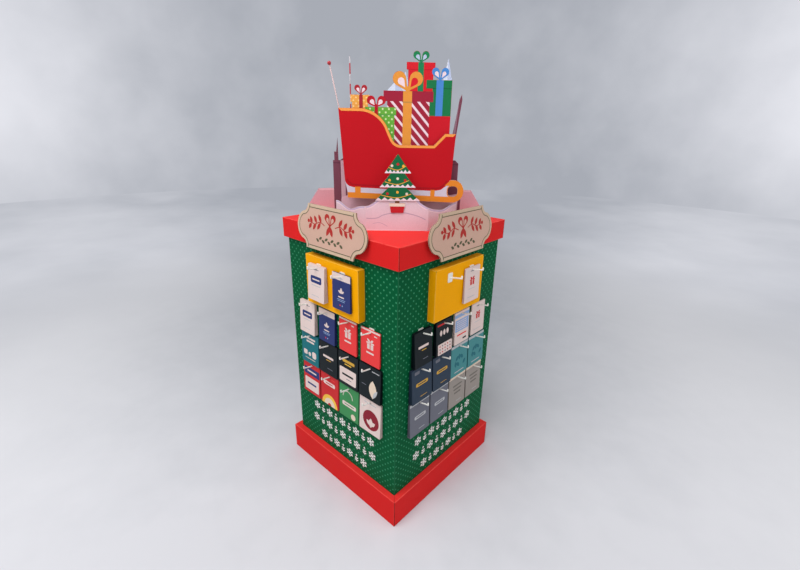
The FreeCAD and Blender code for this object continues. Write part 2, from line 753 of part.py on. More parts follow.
def card_stack(label, face, along, outward, height, format_name, bulk):
    """One pile of carrier cards, thinner at the hole than at its fanned lower edge."""
    width, tall = CARD_FORMATS[format_name]
    top, bottom = STACK_BULKS[bulk]
    body = new_body(label)
    profile = new_sketch(body, label + "_side", "YZ_Plane")
    outline(profile, [("0", "0"), ("0", f"-{tall}"), (f"-{bottom}", f"-{tall}"), (f"-{top}", "0")])
    pad(body, profile, width, both_ways=True)
    punched = new_sketch(body, label + "_hole", "XZ_Plane")
    circle_holes(punched, [("0", "-hole_below_top")], "hang_hole")
    pile = pocket(body, punched, f"{bottom} + {THROUGH}")
    doc.recompute()
    corners = []
    for number, edge in enumerate(pile.Shape.Edges, start=1):
        box = edge.BoundBox
        if box.XLength < TOLERANCE and box.YLength > box.ZLength:
            corners.append(f"Edge{number}")
    rounded = body.newObject("PartDesign::Fillet", label + "_corners")
    rounded.Base = (pile, corners)
    bind(rounded, Radius="card_rounding")
    rise = f"(plate_to_card + {top}) * tan(arm_slope)"
    lift = f"{rise} + arm_diameter / (2 * cos(arm_slope)) + hang_clearance"
    card_top = f"{height} + {lift} - hang_hole / 2 + hole_below_top"
    place_on_face(body, face, along, f"{outward} + plate_thickness + plate_to_card", card_top)
    keep(body, label)


WALL_STACKS = {
    LEFT_FACE: (
        ("thick", "middle", "thin", "thin"),
        ("middle", "middle", "middle", "middle"),
        ("middle", "middle", "middle", "middle"),
    ),
    RIGHT_FACE: (
        ("thick", "thick", "middle", "thin"),
        ("thick", "thick", "middle", "middle"),
        ("middle", "middle", "middle", "middle"),
    ),
}

for side, face in (("left", LEFT_FACE), ("right", RIGHT_FACE)):
    for row, column, along, height in grid_places():
        place_number = COLUMNS.index(column)
        card_stack(
            f"cards_{side}_row{row + 1}_{place_number + 1}",
            face,
            along,
            "0",
            height,
            ROW_FORMATS[row],
            WALL_STACKS[face][row][place_number],
        )

PANEL_STACKS = (
    ("cards_left_panel_1", LEFT_FACE, "-", "thick"),
    ("cards_left_panel_2", LEFT_FACE, "", "thin"),
    ("cards_right_panel_2", RIGHT_FACE, "", "thin"),
)
for label, face, sign, bulk in PANEL_STACKS:
    along = f"{sign}panel_hook_pitch / 2"
    card_stack(label, face, along, "panel_depth", PANEL_HOOKS, "narrow", bulk)


# Plaques leaning on wedges in front of the cap's skirt

def plaque(label, face):
    body = new_body(label)
    sketch = new_sketch(body, label + "_outline", "XZ_Plane")
    straight = "plaque_straight / 2"
    top = "plaque_height / 2"
    shoulder = f"{straight} + plaque_shoulder"
    end = "plaque_end_height / 2"
    hollow = f"sqrt((plaque_shoulder ^ 2 + ({top} - {end}) ^ 2) / 2)"
    bulge = f"(({end}) ^ 2 + plaque_bulge ^ 2) / (2 * plaque_bulge)"
    outline(sketch, [
        (f"-({straight})", f"-({top})"),
        (straight, f"-({top})", hollow, "right"),
        (shoulder, f"-({end})", bulge, "left"),
        (shoulder, end, hollow, "right"),
        (straight, top),
        (f"-({straight})", top, hollow, "right"),
        (f"-({shoulder})", end, bulge, "left"),
        (f"-({shoulder})", f"-({end})", hollow, "right"),
    ])
    pad(body, sketch, "plaque_thickness")
    lean = Rotation(Vector(1, 0, 0), -size("plaque_lean"))
    turn = Rotation(Vector(0, 0, 1), face)
    place_on_face(body, face, "0", "plaque_standoff", "stand_height - plaque_drop")
    body.Placement = Placement(body.Placement.Base, turn.multiply(lean))
    keep(body, label)


def plaque_wedge(label, face):
    """The folded wedge that fills the space between the skirt and the leaning plaque."""
    body = new_body(label)
    profile = new_sketch(body, label + "_side", "YZ_Plane")
    low = "stand_height - cap_skirt + spacer_margin"
    high = "stand_height - spacer_margin"

    def plaque_back(height):
        below = f"stand_height - plaque_drop - ({height})"
        return f"-(plaque_standoff + ({below}) * tan(plaque_lean))"

    outline(profile, [
        ("-cap_overhang", low),
        ("-cap_overhang", high),
        (plaque_back(high), high),
        (plaque_back(low), low),
    ])
    pad(body, profile, "spacer_width", both_ways=True)
    place_on_face(body, face, "0", "0", "0")
    keep(body, label)


for side, face in (("left", LEFT_FACE), ("right", RIGHT_FACE)):
    plaque(f"plaque_{side}", face)
    plaque_wedge(f"plaque_wedge_{side}", face)


# Sheets of the scene, each cut from flat board and stood on the cap

def tabs(spacing):
    """The points of a lower edge with two tabs, from left to right."""
    points = []
    drop = "-(board + tab_drop)"
    for sign in ("-", ""):
        left = f"{sign}{spacing} / 2 - tab_width / 2"
        right = f"{sign}{spacing} / 2 + tab_width / 2"
        points += [(left, "0"), (left, drop), (right, drop), (right, "0")]
    return points


def flat_sheet(label, corners, distance, thickness="header_board", holes=()):
    body = new_body(label)
    sketch = new_sketch(body, label + "_outline", "XZ_Plane")
    outline(sketch, corners)
    for hole in holes:
        outline(sketch, hole)
    pad(body, sketch, thickness, reverse=True)
    place_on_cap(body, distance)
    keep(body, label)


def block(label, left, right, low, high, back, front):
    """A pad of board between two sheets that stand at the given distances."""
    corners = [(left, low), (right, low), (right, high), (left, high)]
    flat_sheet(label, corners, front, f"{front} - ({back})")


curl_top = "runner_right_height + 2 * curl_reach"
hole_left = "sleigh_right - curl_hole / 2"
hole_right = "sleigh_right + curl_hole / 2"
hole_low = "runner_right_height + curl_reach - curl_hole / 2"
hole_high = "runner_right_height + curl_reach + curl_hole / 2"
soft = "curl_hole_rounding"
flat_sheet(
    "sleigh_panel",
    [
        ("-sleigh_left + runner_inset", "runner_left_height"),
        ("sleigh_right", "runner_right_height", "curl_reach", "left"),
        ("sleigh_right + curl_reach", "runner_right_height + curl_reach", "curl_reach", "left"),
        ("sleigh_right", curl_top),
        ("sleigh_right - sleigh_rake / 2", curl_top),
        ("sleigh_right", "sleigh_nose_height"),
        ("sleigh_right - sleigh_nose_flat", "sleigh_nose_height"),
        ("sleigh_right - sleigh_nose_flat - sleigh_nose_slope", "sleigh_seat_height"),
        ("sleigh_seat_start", "sleigh_seat_height", "sleigh_seat_radius", "right"),
        (
            "sleigh_seat_start - sleigh_seat_radius",
            "sleigh_seat_height + sleigh_seat_rise",
        ),
        (
            "-sleigh_left + sleigh_back_flat + sleigh_bend_width",
            "sleigh_back_height - sleigh_bend_drop",
            "sleigh_bend_radius",
            "left",
        ),
        ("-sleigh_left + sleigh_back_flat", "sleigh_back_height"),
        ("-sleigh_left", "sleigh_back_height"),
        ("-sleigh_left + sleigh_rake", "sleigh_floor + sleigh_corner"),
        ("-sleigh_left + runner_inset", "runner_left_height + runner_thickness"),
    ],
    SLEIGH_DISTANCE,
    holes=[[
        (f"{hole_left} + {soft}", hole_low),
        (f"{hole_right} - {soft}", hole_low, soft, "left"),
        (hole_right, f"{hole_low} + {soft}"),
        (hole_right, f"{hole_high} - {soft}", soft, "left"),
        (f"{hole_right} - {soft}", hole_high),
        (f"{hole_left} + {soft}", hole_high, soft, "left"),
        (hole_left, f"{hole_high} - {soft}"),
        (hole_left, f"{hole_low} + {soft}", soft, "left"),
    ]],
)

tower_right = "village_half - turret_width / 2"
tower_left = f"{tower_right} - tower_width"
spire_left = f"{tower_left} - right_spire_foot"
leaning_tip = f"{tower_left} + right_spire_lean"
blade_top = "right_spire_height - 2 * right_spire_blade"
first_tower = "-village_half + tower_width"
spire_middle = "-village_half + tower_width / 2"
flat_sheet(
    "village_panel",
    [
        ("-village_half", "0"),
        *tabs("village_tab_spacing"),
        ("village_half + turret_width / 2", "0"),
        ("village_half + turret_width / 2", "village_band - tower_step"),
        (tower_right, "village_band + tower_step"),
        (tower_right, "tower_height - tower_step"),
        (f"{tower_right} - tower_width / 2", "tower_height + tower_step"),
        (tower_left, "tower_height + tower_step"),
        (f"{leaning_tip} + tower_step / 2", blade_top),
        (leaning_tip, "right_spire_height"),
        (f"{leaning_tip} + tower_step / 2 - right_spire_blade", blade_top),
        (spire_left, "tower_height"),
        (spire_left, "village_band"),
        (f"{first_tower} + house_width", "village_band"),
        (f"{first_tower} + house_width", "tower_height"),
        (f"{first_tower} + house_width / 2", "tower_height + 2 * tower_step"),
        (first_tower, "tower_height"),
        (f"{spire_middle} + left_spire_foot / 2", "tower_height"),
        (f"{spire_middle} + tower_step", "left_spire_height"),
        (spire_middle, "tower_height + 2 * left_spire_foot"),
        (f"{spire_middle} - left_spire_foot / 2", "tower_height + 2 * left_spire_foot"),
        (f"{spire_middle} - left_spire_foot / 2", "tower_height"),
        ("-village_half", "tower_height"),
    ],
    VILLAGE_DISTANCE,
)

flat_sheet(
    "snow_bank",
    [
        ("-bank_base_half", "0"),
        *tabs("bank_tab_spacing"),
        ("bank_base_half", "0"),
        ("bank_top_half", "bank_height"),
        ("bank_top_half / 3", "bank_height + bank_swell"),
        ("-bank_top_half / 3", "bank_height + bank_swell"),
        ("-bank_top_half", "bank_height"),
    ],
    BANK_DISTANCE,
)

for side, left in (
    ("left", "-sleigh_left + sleigh_spacer_inset"),
    ("right", "sleigh_right - sleigh_spacer_inset - sleigh_spacer_width"),
):
    block(
        f"sleigh_spacer_{side}",
        left,
        f"{left} + sleigh_spacer_width",
        "village_band - sleigh_spacer_height",
        "village_band",
        VILLAGE_DISTANCE,
        f"{SLEIGH_DISTANCE} - header_board",
    )
block(
    "gift_spacer",
    "-gift_spacer_width / 2",
    "gift_spacer_width / 2",
    "gifts_bottom",
    "gifts_bottom + gift_spacer_height",
    GIFTS_DISTANCE,
    f"{SLEIGH_DISTANCE} - header_board",
)

# The tree takes shares of its half width and its height: pot, trunk and three tiers
POT = ((0.28, 0.0), (0.36, 0.17))
TRUNK = ((0.10, 0.17), (0.10, 0.23))
TIERS = (((1.0, 0.21), (0.34, 0.46)), ((0.80, 0.44), (0.26, 0.70)), ((0.58, 0.68), (0.0, 1.0)))


def fir_side(sign):
    """One side of the tree from the pot's foot to below the tip."""
    shares = [*POT, *TRUNK]
    for low_corner, high_corner in TIERS:
        shares += [low_corner, high_corner]
    return [
        (f"{sign}{across} * fir_half", f"fir_foot + {up} * fir_height") for across, up in shares[:-1]
    ]


flat_sheet(
    "fir_cutout",
    fir_side("") + [("0", "fir_foot + fir_height")] + fir_side("-")[::-1],
    f"{DRIFT_DISTANCE} + header_board",
)


# The snow drift is one folded sheet: its plan is a bent strip, and its top edge a smooth wave

WAVE = (
    # share of the half width, share of the rise from the hollows to the peak
    (-0.86, 0.19),
    (-0.78, 0.02),
    (-0.72, 0.02),
    (-0.62, 0.17),
    (-0.46, 0.28),
    (-0.34, 0.55),
    (-0.12, 0.92),
    (0.04, 1.0),
    (0.25, 0.86),
    (0.34, 0.58),
    (0.50, 0.19),
    (0.69, 0.0),
    (0.77, 0.01),
    (0.86, 0.19),
)


def snow_drift():
    half = size("drift_front_width") / 2
    wing = size("drift_wing")
    fold = math.radians(size("drift_fold"))
    thick = size("header_board")
    front = -value(DRIFT_DISTANCE)
    end = half + wing
    back = front + wing * math.tan(fold)
    bend = half - thick * math.tan(fold / 2)
    inner_end = end - thick * math.sin(fold)
    inner_back = back + thick * math.cos(fold)
    right = [
        Vector(half, front, 0),
        Vector(end, back, 0),
        Vector(inner_end, inner_back, 0),
        Vector(bend, front + thick, 0),
    ]
    left = [Vector(-point.x, point.y, 0) for point in reversed(right)]
    strip = Part.Face(Part.makePolygon(right + left + [right[0]]))
    rise = size("drift_peak") - size("drift_dip")
    wave = [Vector(-end, 0, size("drift_left_end"))]
    wave += [Vector(across * end, 0, size("drift_dip") + up * rise) for across, up in WAVE]
    wave.append(Vector(end, 0, size("drift_right_end")))
    crest = Part.BSplineCurve()
    crest.interpolate(wave)
    foot = Part.makePolygon([wave[-1], Vector(end, 0, 0), Vector(-end, 0, 0), wave[0]])
    silhouette = Part.Face(Part.Wire([crest.toShape()] + foot.Edges))
    silhouette.translate(Vector(0, front - thick, 0))
    depth = inner_back - front + 2 * thick
    standing = strip.extrude(Vector(0, 0, 2 * size("drift_peak")))
    body = standing.common(silhouette.extrude(Vector(0, depth, 0)))
    drop = size("board") + size("tab_drop")
    for sign in (-1, 1):
        middle_x = sign * size("drift_tab_spacing") / 2
        corner = Vector(middle_x - size("tab_width") / 2, front, -drop)
        body = body.fuse(Part.makeBox(size("tab_width"), thick, drop, corner))
    return body.removeSplitter()


drift = doc.addObject("Part::Feature", "snow_drift")
drift.Shape = snow_drift()
place_on_cap(drift, "0")
keep(drift, "snow_drift")


# The gift sheet is one die-cut silhouette of boxes, bows and snowy peaks

GIFTS = {
    # left edge of its lid, width, top, height of the lid, overhang of the lid
    "dotted_gift": (
        "-dotted_gift_left",
        "dotted_gift_width",
        "dotted_gift_top",
        "gift_lid_height",
        "small_lid_overhang",
    ),
    "small_gift": (
        "-gifts_left - small_lid_overhang",
        "small_gift_width",
        "small_gift_top",
        "small_lid_height",
        "small_lid_overhang",
    ),
    "striped_gift": (
        "-striped_gift_left",
        "striped_gift_width",
        "striped_gift_top",
        "gift_lid_height",
        "gift_lid_overhang",
    ),
    "top_gift": (
        "top_gift_left",
        "top_gift_width",
        "striped_gift_top + top_gift_height",
        "small_lid_height",
        "small_lid_overhang",
    ),
    "tall_gift": (
        "tall_gift_left",
        "gifts_right - tall_gift_left",
        "tall_gift_top",
        "tall_gift_height",
        "gift_lid_overhang",
    ),
}
BOWS = (
    # gift, then as shares of its width: knot, width of the bow, height of the bow
    ("dotted_gift", 0.36, 0.60, 0.34),
    ("small_gift", 0.55, 0.66, 0.48),
    ("striped_gift", 0.48, 0.60, 0.36),
    ("top_gift", 0.50, 0.56, 0.36),
    ("tall_gift", 0.53, 0.66, 0.44),
)
LOOP_ROUNDNESS = 0.22
PEAKS = (
    # the gift it stands behind, its left edge from the gift's, width, height above the gift
    ("striped_gift", "gift_lid_overhang", "snow_peak_width", "snow_peak_height"),
    ("striped_gift", "snow_peak_width", "second_peak_width", "second_peak_height"),
    ("tall_gift", "far_peak_inset", "far_peak_width", "far_peak_height"),
)


def four_corners(left, right, low, high):
    return [(left, low), (right, low), (right, high), (left, high)]


def loop_corners(knot, height, width, bow_width, bow_height, sign):
    """A teardrop loop of ribbon that leans away from its knot to the left or the right."""
    radius = LOOP_ROUNDNESS * bow_width
    centre = Vector(bow_width / 2 - radius, bow_height - radius, 0)
    reach = math.sqrt(centre.Length ** 2 - radius ** 2)
    spread = math.asin(radius / centre.Length)
    lean = math.atan2(centre.y, centre.x)
    turn = "long left" if sign > 0 else "long right"
    touches = []
    for angle in (lean - spread, lean + spread):
        across = f"{knot} + ({sign * reach * math.cos(angle):.5f}) * {width}"
        up = f"{height} + {reach * math.sin(angle):.5f} * {width}"
        touches.append((across, up))
    return [(knot, height), (*touches[0], f"{radius:.5f} * {width}", turn), touches[1]]


gift_panel = new_body("gift_panel")
seat_back_left = "tall_gift_left + gift_lid_overhang"
shapes = [
    four_corners("-gifts_left", "gifts_right", "gifts_bottom", "sleigh_seat_height - gifts_margin"),
    four_corners(seat_back_left, "gifts_right", "gifts_bottom", "tall_gift_top - gifts_margin"),
]
for left, width, top, lid_height, overhang in GIFTS.values():
    right = f"{left} + {width}"
    lid_foot = f"{top} - {lid_height}"
    box_top = f"{lid_foot} + {THROUGH}"
    box = (f"{left} + {overhang}", f"{right} - {overhang}", "gifts_bottom", box_top)
    shapes.append(four_corners(*box))
    shapes.append(four_corners(left, right, lid_foot, top))
for name, inset, width, height in PEAKS:
    left = f"{GIFTS[name][0]} + {inset}"
    foot = f"{GIFTS[name][2]} - {THROUGH}"
    tip = (f"{left} + {width} / 2", f"{foot} + {height}")
    shapes.append([(left, foot), (f"{left} + {width}", foot), tip])
for name, along, across, up in BOWS:
    left, width, top, lid_height, overhang = GIFTS[name]
    knot = f"{left} + {along} * ({width})"
    for sign in (-1, 1):
        shapes.append(loop_corners(knot, f"{top} - {THROUGH}", f"({width})", across, up, sign))
for number, corners in enumerate(shapes, start=1):
    sketch = new_sketch(gift_panel, f"gift_outline_{number}", "XZ_Plane")
    outline(sketch, corners)
    pad(gift_panel, sketch, "header_board", reverse=True)
place_on_cap(gift_panel, GIFTS_DISTANCE)
keep(gift_panel, "gift_panel")


# Poles standing in holes of the cap

stick = standing_rod("pole_stick", "pole_diameter", ball_foot, ball_head)
ball = doc.addObject("Part::Sphere", "pole_ball")
bind(ball, Radius="ball_diameter / 2")
ball.Placement = Placement(ball_head, Rotation())
keep(fuse("ball_pole", [stick, ball]), "ball_pole")
keep(standing_rod("striped_pole", "pole_diameter", stripe_foot, stripe_head), "striped_pole")


# Check every object, then write one file for each sub-part

doc.recompute()
failed = [item.Name for item in doc.Objects if {"Invalid", "Error"} & set(item.State)]
if failed:
    raise RuntimeError("these objects failed: " + ", ".join(failed))
os.makedirs("parts", exist_ok=True)
for item in sub_parts:
    shape = item.Shape
    if shape.isNull() or not shape.isValid():
        raise RuntimeError(f"{item.Label} has no valid shape")
    shape.exportStep(f"parts/{item.Label}.step")
    print(item.Label, len(shape.Solids), round(shape.Volume))
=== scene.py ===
import math
import random

import bmesh
import bpy
from mathutils import Matrix, Vector
from mathutils.geometry import tessellate_polygon


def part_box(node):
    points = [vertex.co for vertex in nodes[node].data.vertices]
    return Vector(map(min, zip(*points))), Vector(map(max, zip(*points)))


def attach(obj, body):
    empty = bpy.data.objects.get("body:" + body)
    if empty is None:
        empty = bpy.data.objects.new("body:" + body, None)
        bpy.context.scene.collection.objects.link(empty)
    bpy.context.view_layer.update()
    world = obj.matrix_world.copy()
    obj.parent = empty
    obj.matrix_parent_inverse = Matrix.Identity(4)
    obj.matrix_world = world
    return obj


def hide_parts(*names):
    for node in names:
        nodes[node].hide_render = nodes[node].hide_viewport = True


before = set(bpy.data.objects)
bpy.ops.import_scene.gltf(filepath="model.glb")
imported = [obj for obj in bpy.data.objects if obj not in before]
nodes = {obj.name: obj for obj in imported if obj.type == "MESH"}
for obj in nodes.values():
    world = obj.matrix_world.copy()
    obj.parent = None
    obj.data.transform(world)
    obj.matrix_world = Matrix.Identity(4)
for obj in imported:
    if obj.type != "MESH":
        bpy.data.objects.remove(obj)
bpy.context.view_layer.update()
MM = 0.001


# Base tray
# The foot of the stand, folded from one red printed blank of 4 mm corrugated board. The walls roll
# over at the rim and tuck in again, and meet at the corners in a thin dark gap. Handling has rubbed
# the folds a little paler.

def ink(red, green, blue):
    """A printed colour, given from 0 to 255 as it looks, in the shader's own terms."""
    def linear(level):
        level /= 255
        return level / 12.92 if level <= 0.04045 else ((level + 0.055) / 1.055) ** 2.4
    return (linear(red), linear(green), linear(blue), 1.0)


def join(tree, source, socket):
    if isinstance(source, bpy.types.NodeSocket):
        tree.links.new(source, socket)
    else:
        socket.default_value = source


def add_node(tree, kind, inputs=(), **settings):
    """A shader node; each of its inputs is a number, a colour or another node's output."""
    node = tree.nodes.new(kind)
    for name, setting in settings.items():
        setattr(node, name, setting)
    for name, source in dict(inputs).items():
        join(tree, source, node.inputs[name])
    return node


def calculate(tree, operation, *terms):
    return add_node(tree, "ShaderNodeMath", enumerate(terms), operation=operation).outputs[0]


def calculate_vector(tree, operation, *terms):
    """A step of vector arithmetic; DOT_PRODUCT and LENGTH give a number."""
    outputs = add_node(tree, "ShaderNodeVectorMath", enumerate(terms), operation=operation).outputs
    return outputs["Value" if operation in ("DOT_PRODUCT", "LENGTH") else "Vector"]


def ramp(tree, level, low, high, start=0.0, end=1.0):
    """A smooth step from start to end while the level goes from low to high."""
    inputs = {"Value": level, "From Min": low, "From Max": high, "To Min": start, "To Max": end}
    node = add_node(tree, "ShaderNodeMapRange", inputs, interpolation_type="SMOOTHSTEP")
    return node.outputs["Result"]


def mix_colours(tree, share, first, second):
    node = add_node(tree, "ShaderNodeMix", {0: share, 6: first, 7: second}, data_type="RGBA")
    return node.outputs[2]


def split(tree, vector):
    return add_node(tree, "ShaderNodeSeparateXYZ", {"Vector": vector}).outputs


def own_place(tree):
    """Each point's place: in the stand's frame, or for a print in the plane of its board."""
    return tree.nodes.new("ShaderNodeTexCoord").outputs["Object"]


def noise(tree, position, scale, detail=2.0):
    inputs = {"Vector": position, "Scale": scale, "Detail": detail}
    return add_node(tree, "ShaderNodeTexNoise", inputs).outputs["Fac"]


def new_group(name, inputs, outputs):
    """An empty shader node group with its sockets: the group, what it is given, what it gives."""
    group = bpy.data.node_groups.new(name, "ShaderNodeTree")
    for sockets, way in ((inputs, "INPUT"), (outputs, "OUTPUT")):
        for socket, kind in sockets.items():
            group.interface.new_socket(name=socket, in_out=way, socket_type="NodeSocket" + kind)
    given = group.nodes.new("NodeGroupInput").outputs
    return group, given, group.nodes.new("NodeGroupOutput").inputs


def apply_group(tree, group, **inputs):
    """Place a group; its inputs are named with _ for each space. Returns its outputs."""
    node = add_node(tree, "ShaderNodeGroup", node_tree=group)
    for name, source in inputs.items():
        join(tree, source, node.inputs[name.replace("_", " ")])
    return node.outputs


def paper_grain_group():
    """Printed paper: faint clouds and fibres in the ink, uneven gloss and a fine tooth."""
    group, given, gives = new_group(
        "paper_grain",
        {"Colour": "Color", "Mottle": "Float", "Gloss": "Float"},
        {"Colour": "Color", "Roughness": "Float", "Height": "Float"},
    )
    position = own_place(group)
    clouds = noise(group, position, 7, 3)
    specks = noise(group, position, 240, 2)
    fibres = noise(group, position, 900, 3)
    uneven = calculate(group, "ADD", calculate(group, "MULTIPLY", clouds, 1.2), specks)
    uneven = calculate(group, "SUBTRACT", uneven, 1.1)
    value = calculate(group, "MULTIPLY_ADD", uneven, given["Mottle"], 1.0)
    shaded = add_node(group, "ShaderNodeHueSaturation", {"Value": value, "Color": given["Colour"]})
    group.links.new(shaded.outputs["Color"], gives["Colour"])
    dull = calculate(group, "SUBTRACT", 1.0, given["Gloss"])
    join(group, calculate(group, "MULTIPLY_ADD", uneven, 0.22, dull), gives["Roughness"])
    join(group, calculate(group, "MULTIPLY_ADD", fibres, 0.5, specks), gives["Height"])
    return group


def inside_box(group, position, given):
    """How far each point lies inside the faces of a box, across x, y and z."""
    offset = calculate_vector(group, "SUBTRACT", position, given["Middle"])
    away = calculate_vector(group, "ABSOLUTE", offset)
    return split(group, calculate_vector(group, "SUBTRACT", given["Half size"], away))


def fold_rub_group():
    """Where a box's folds are rubbed: 1 on the edges of a box, broken up and fading inwards."""
    group, given, gives = new_group(
        "fold_rub",
        {"Middle": "Vector", "Half size": "Vector", "Width": "Float"},
        {"Mask": "Float"},
    )
    position = own_place(group)
    x, y, z = inside_box(group, position, given)
    least = calculate(group, "MINIMUM", calculate(group, "MINIMUM", x, y), z)
    most = calculate(group, "MAXIMUM", calculate(group, "MAXIMUM", x, y), z)
    total = calculate(group, "ADD", calculate(group, "ADD", x, y), z)
    from_edge = calculate(group, "SUBTRACT", calculate(group, "SUBTRACT", total, least), most)
    chips = noise(group, position, 90, 4)
    reach = calculate(group, "MULTIPLY", given["Width"], calculate(group, "MULTIPLY", chips, 2.0))
    join(group, ramp(group, from_edge, 0.0, reach, 1.0, 0.0), gives["Mask"])
    return group


def looks_along_x(group, normal):
    """1 on a face that looks along x, either way, and 0 on the others."""
    sideways = calculate(group, "ABSOLUTE", split(group, normal)["X"])
    return calculate(group, "GREATER_THAN", sideways, 0.7)


def face_axes_group():
    """Metres along an upright face and metres up it, whichever way the face looks."""
    group, given, gives = new_group("face_axes", {}, {"Along": "Float", "Up": "Float"})
    coordinates = group.nodes.new("ShaderNodeTexCoord").outputs
    x, y, z = split(group, coordinates["Object"])
    faces_x = looks_along_x(group, coordinates["Normal"])
    difference = calculate(group, "SUBTRACT", y, x)
    join(group, calculate(group, "MULTIPLY_ADD", difference, faces_x, x), gives["Along"])
    join(group, z, gives["Up"])
    return group


def washboard_group():
    """The flutes of corrugated board, which show faintly through its printed liner."""
    group, given, gives = new_group("washboard", {"Pitch": "Float"}, {"Height": "Float"})
    along = apply_group(group, face_axes)["Along"]
    angle = calculate(group, "MULTIPLY", along, math.tau)
    angle = calculate(group, "DIVIDE", angle, given["Pitch"])
    join(group, calculate(group, "SINE", angle), gives["Height"])
    return group


def open_corner_group():
    """The dark gap where two walls of a box meet at an upright corner, on one of the two."""
    group, given, gives = new_group(
        "open_corner",
        {"Middle": "Vector", "Half size": "Vector", "Gap": "Float", "Reach": "Float"},
        {"Mask": "Float"},
    )
    coordinates = group.nodes.new("ShaderNodeTexCoord").outputs
    x, from_corner, from_rim = inside_box(group, coordinates["Object"], given)
    ragged = noise(group, coordinates["Object"], 25, 2)
    width = calculate(group, "MULTIPLY", given["Gap"], calculate(group, "ADD", ragged, 0.5))
    outer = ramp(group, from_corner, calculate(group, "ADD", width, 0.4 * MM), width, 0.0, 1.0)
    inner = ramp(group, from_corner, 0.2 * MM, 0.7 * MM)
    near_rim = calculate(group, "LESS_THAN", from_rim, given["Reach"])
    mask = calculate(group, "MULTIPLY", outer, inner)
    mask = calculate(group, "MULTIPLY", mask, near_rim)
    mask = calculate(group, "MULTIPLY", mask, looks_along_x(group, coordinates["Normal"]))
    join(group, mask, gives["Mask"])
    return group


paper_grain = paper_grain_group()
fold_rub = fold_rub_group()
face_axes = face_axes_group()
washboard = washboard_group()
open_corner = open_corner_group()
FLUTE_PITCH = 7.5 * MM
FOLD_WIDTH = 3.5 * MM
CORNER_GAP = 1.9 * MM
LINER_RELIEF = 0.12 * MM
LINER_GLOSS = 0.05


def new_material(name, gloss=0.16, coat=0.0):
    """A material with its shader; the constant settings are on the shader's own sockets."""
    material = bpy.data.materials.new(name)
    material.use_nodes = True
    shader = material.node_tree.nodes["Principled BSDF"]
    shader.inputs["Specular IOR Level"].default_value = gloss
    shader.inputs["Coat Weight"].default_value = coat
    shader.inputs["Coat Roughness"].default_value = 0.25
    return material, material.node_tree, shader


def surface(tree, shader, colour, roughness, height, depth):
    """Join a finished colour, roughness and relief of so many metres to the shader."""
    join(tree, colour, shader.inputs["Base Color"])
    join(tree, roughness, shader.inputs["Roughness"])
    bump = add_node(tree, "ShaderNodeBump", {"Height": height, "Distance": depth, "Strength": 0.6})
    join(tree, bump.outputs["Normal"], shader.inputs["Normal"])


def rub_folds(tree, node, width, share, colour, rubbed):
    """The colour with the rubbed one along the folds of a node's box."""
    low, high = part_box(node)
    rub = apply_group(
        tree, fold_rub, Middle=(low + high) / 2, Half_size=(high - low) / 2, Width=width
    )
    return mix_colours(tree, calculate(tree, "MULTIPLY", rub["Mask"], share), colour, rubbed)


def fluted_surface(tree, shader, colour, mottle):
    """The printed liner of corrugated board: the paper's grain over faint flutes."""
    paper = apply_group(tree, paper_grain, Colour=colour, Mottle=mottle, Gloss=0.45)
    flutes = apply_group(tree, washboard, Pitch=FLUTE_PITCH)
    relief = calculate(tree, "MULTIPLY_ADD", flutes["Height"], 0.5, paper["Height"])
    surface(tree, shader, paper["Colour"], paper["Roughness"], relief, LINER_RELIEF)


def box_board(name, node, colour, rubbed, shade, reach):
    """Printed board of a box, with rubbed folds, corners open so far down from the rim, and a
    painted sheen on its top face.
    """
    material, tree, shader = new_material(name, LINER_GLOSS)
    low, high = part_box(node)
    worn = rub_folds(tree, node, FOLD_WIDTH, 0.55, colour, rubbed)
    gap = apply_group(
        tree,
        open_corner,
        Middle=(low + high) / 2,
        Half_size=(high - low) / 2,
        Gap=CORNER_GAP,
        Reach=reach,
    )
    worn = mix_colours(tree, gap["Mask"], worn, shade)
    height = split(tree, own_place(tree))["Z"]
    # Painted sheen: the top face is mixed a little towards the rubbed colour, standing in for light
    # falling on it
    painted_top_sheen = ramp(tree, height, high.z - 0.5 * MM, high.z, 0.0, 0.13)
    fluted_surface(tree, shader, mix_colours(tree, painted_top_sheen, worn, rubbed), 0.16)
    return material


def dress(node, material):
    for slot in nodes[node].material_slots:
        slot.material = material


RED = ink(216, 34, 34)
# Paler red of the rubbed folds, also used for the painted sheen on the top faces
RED_WEAR_AND_SHEEN = ink(238, 102, 94)
RED_SHADE = ink(66, 12, 14)
WHOLE_CORNER = 1.0
RED_PRINT = (RED, RED_WEAR_AND_SHEEN, RED_SHADE)
dress("base_tray", box_board("red_tray_board", "base_tray", *RED_PRINT, WHOLE_CORNER))


# Body sleeve
# One sheet of 4 mm corrugated board folded into a square tube, with its glue flap lapped over at a
# rear corner. It is printed dark green with staggered pale dots, and punched for the hooks on two
# faces.

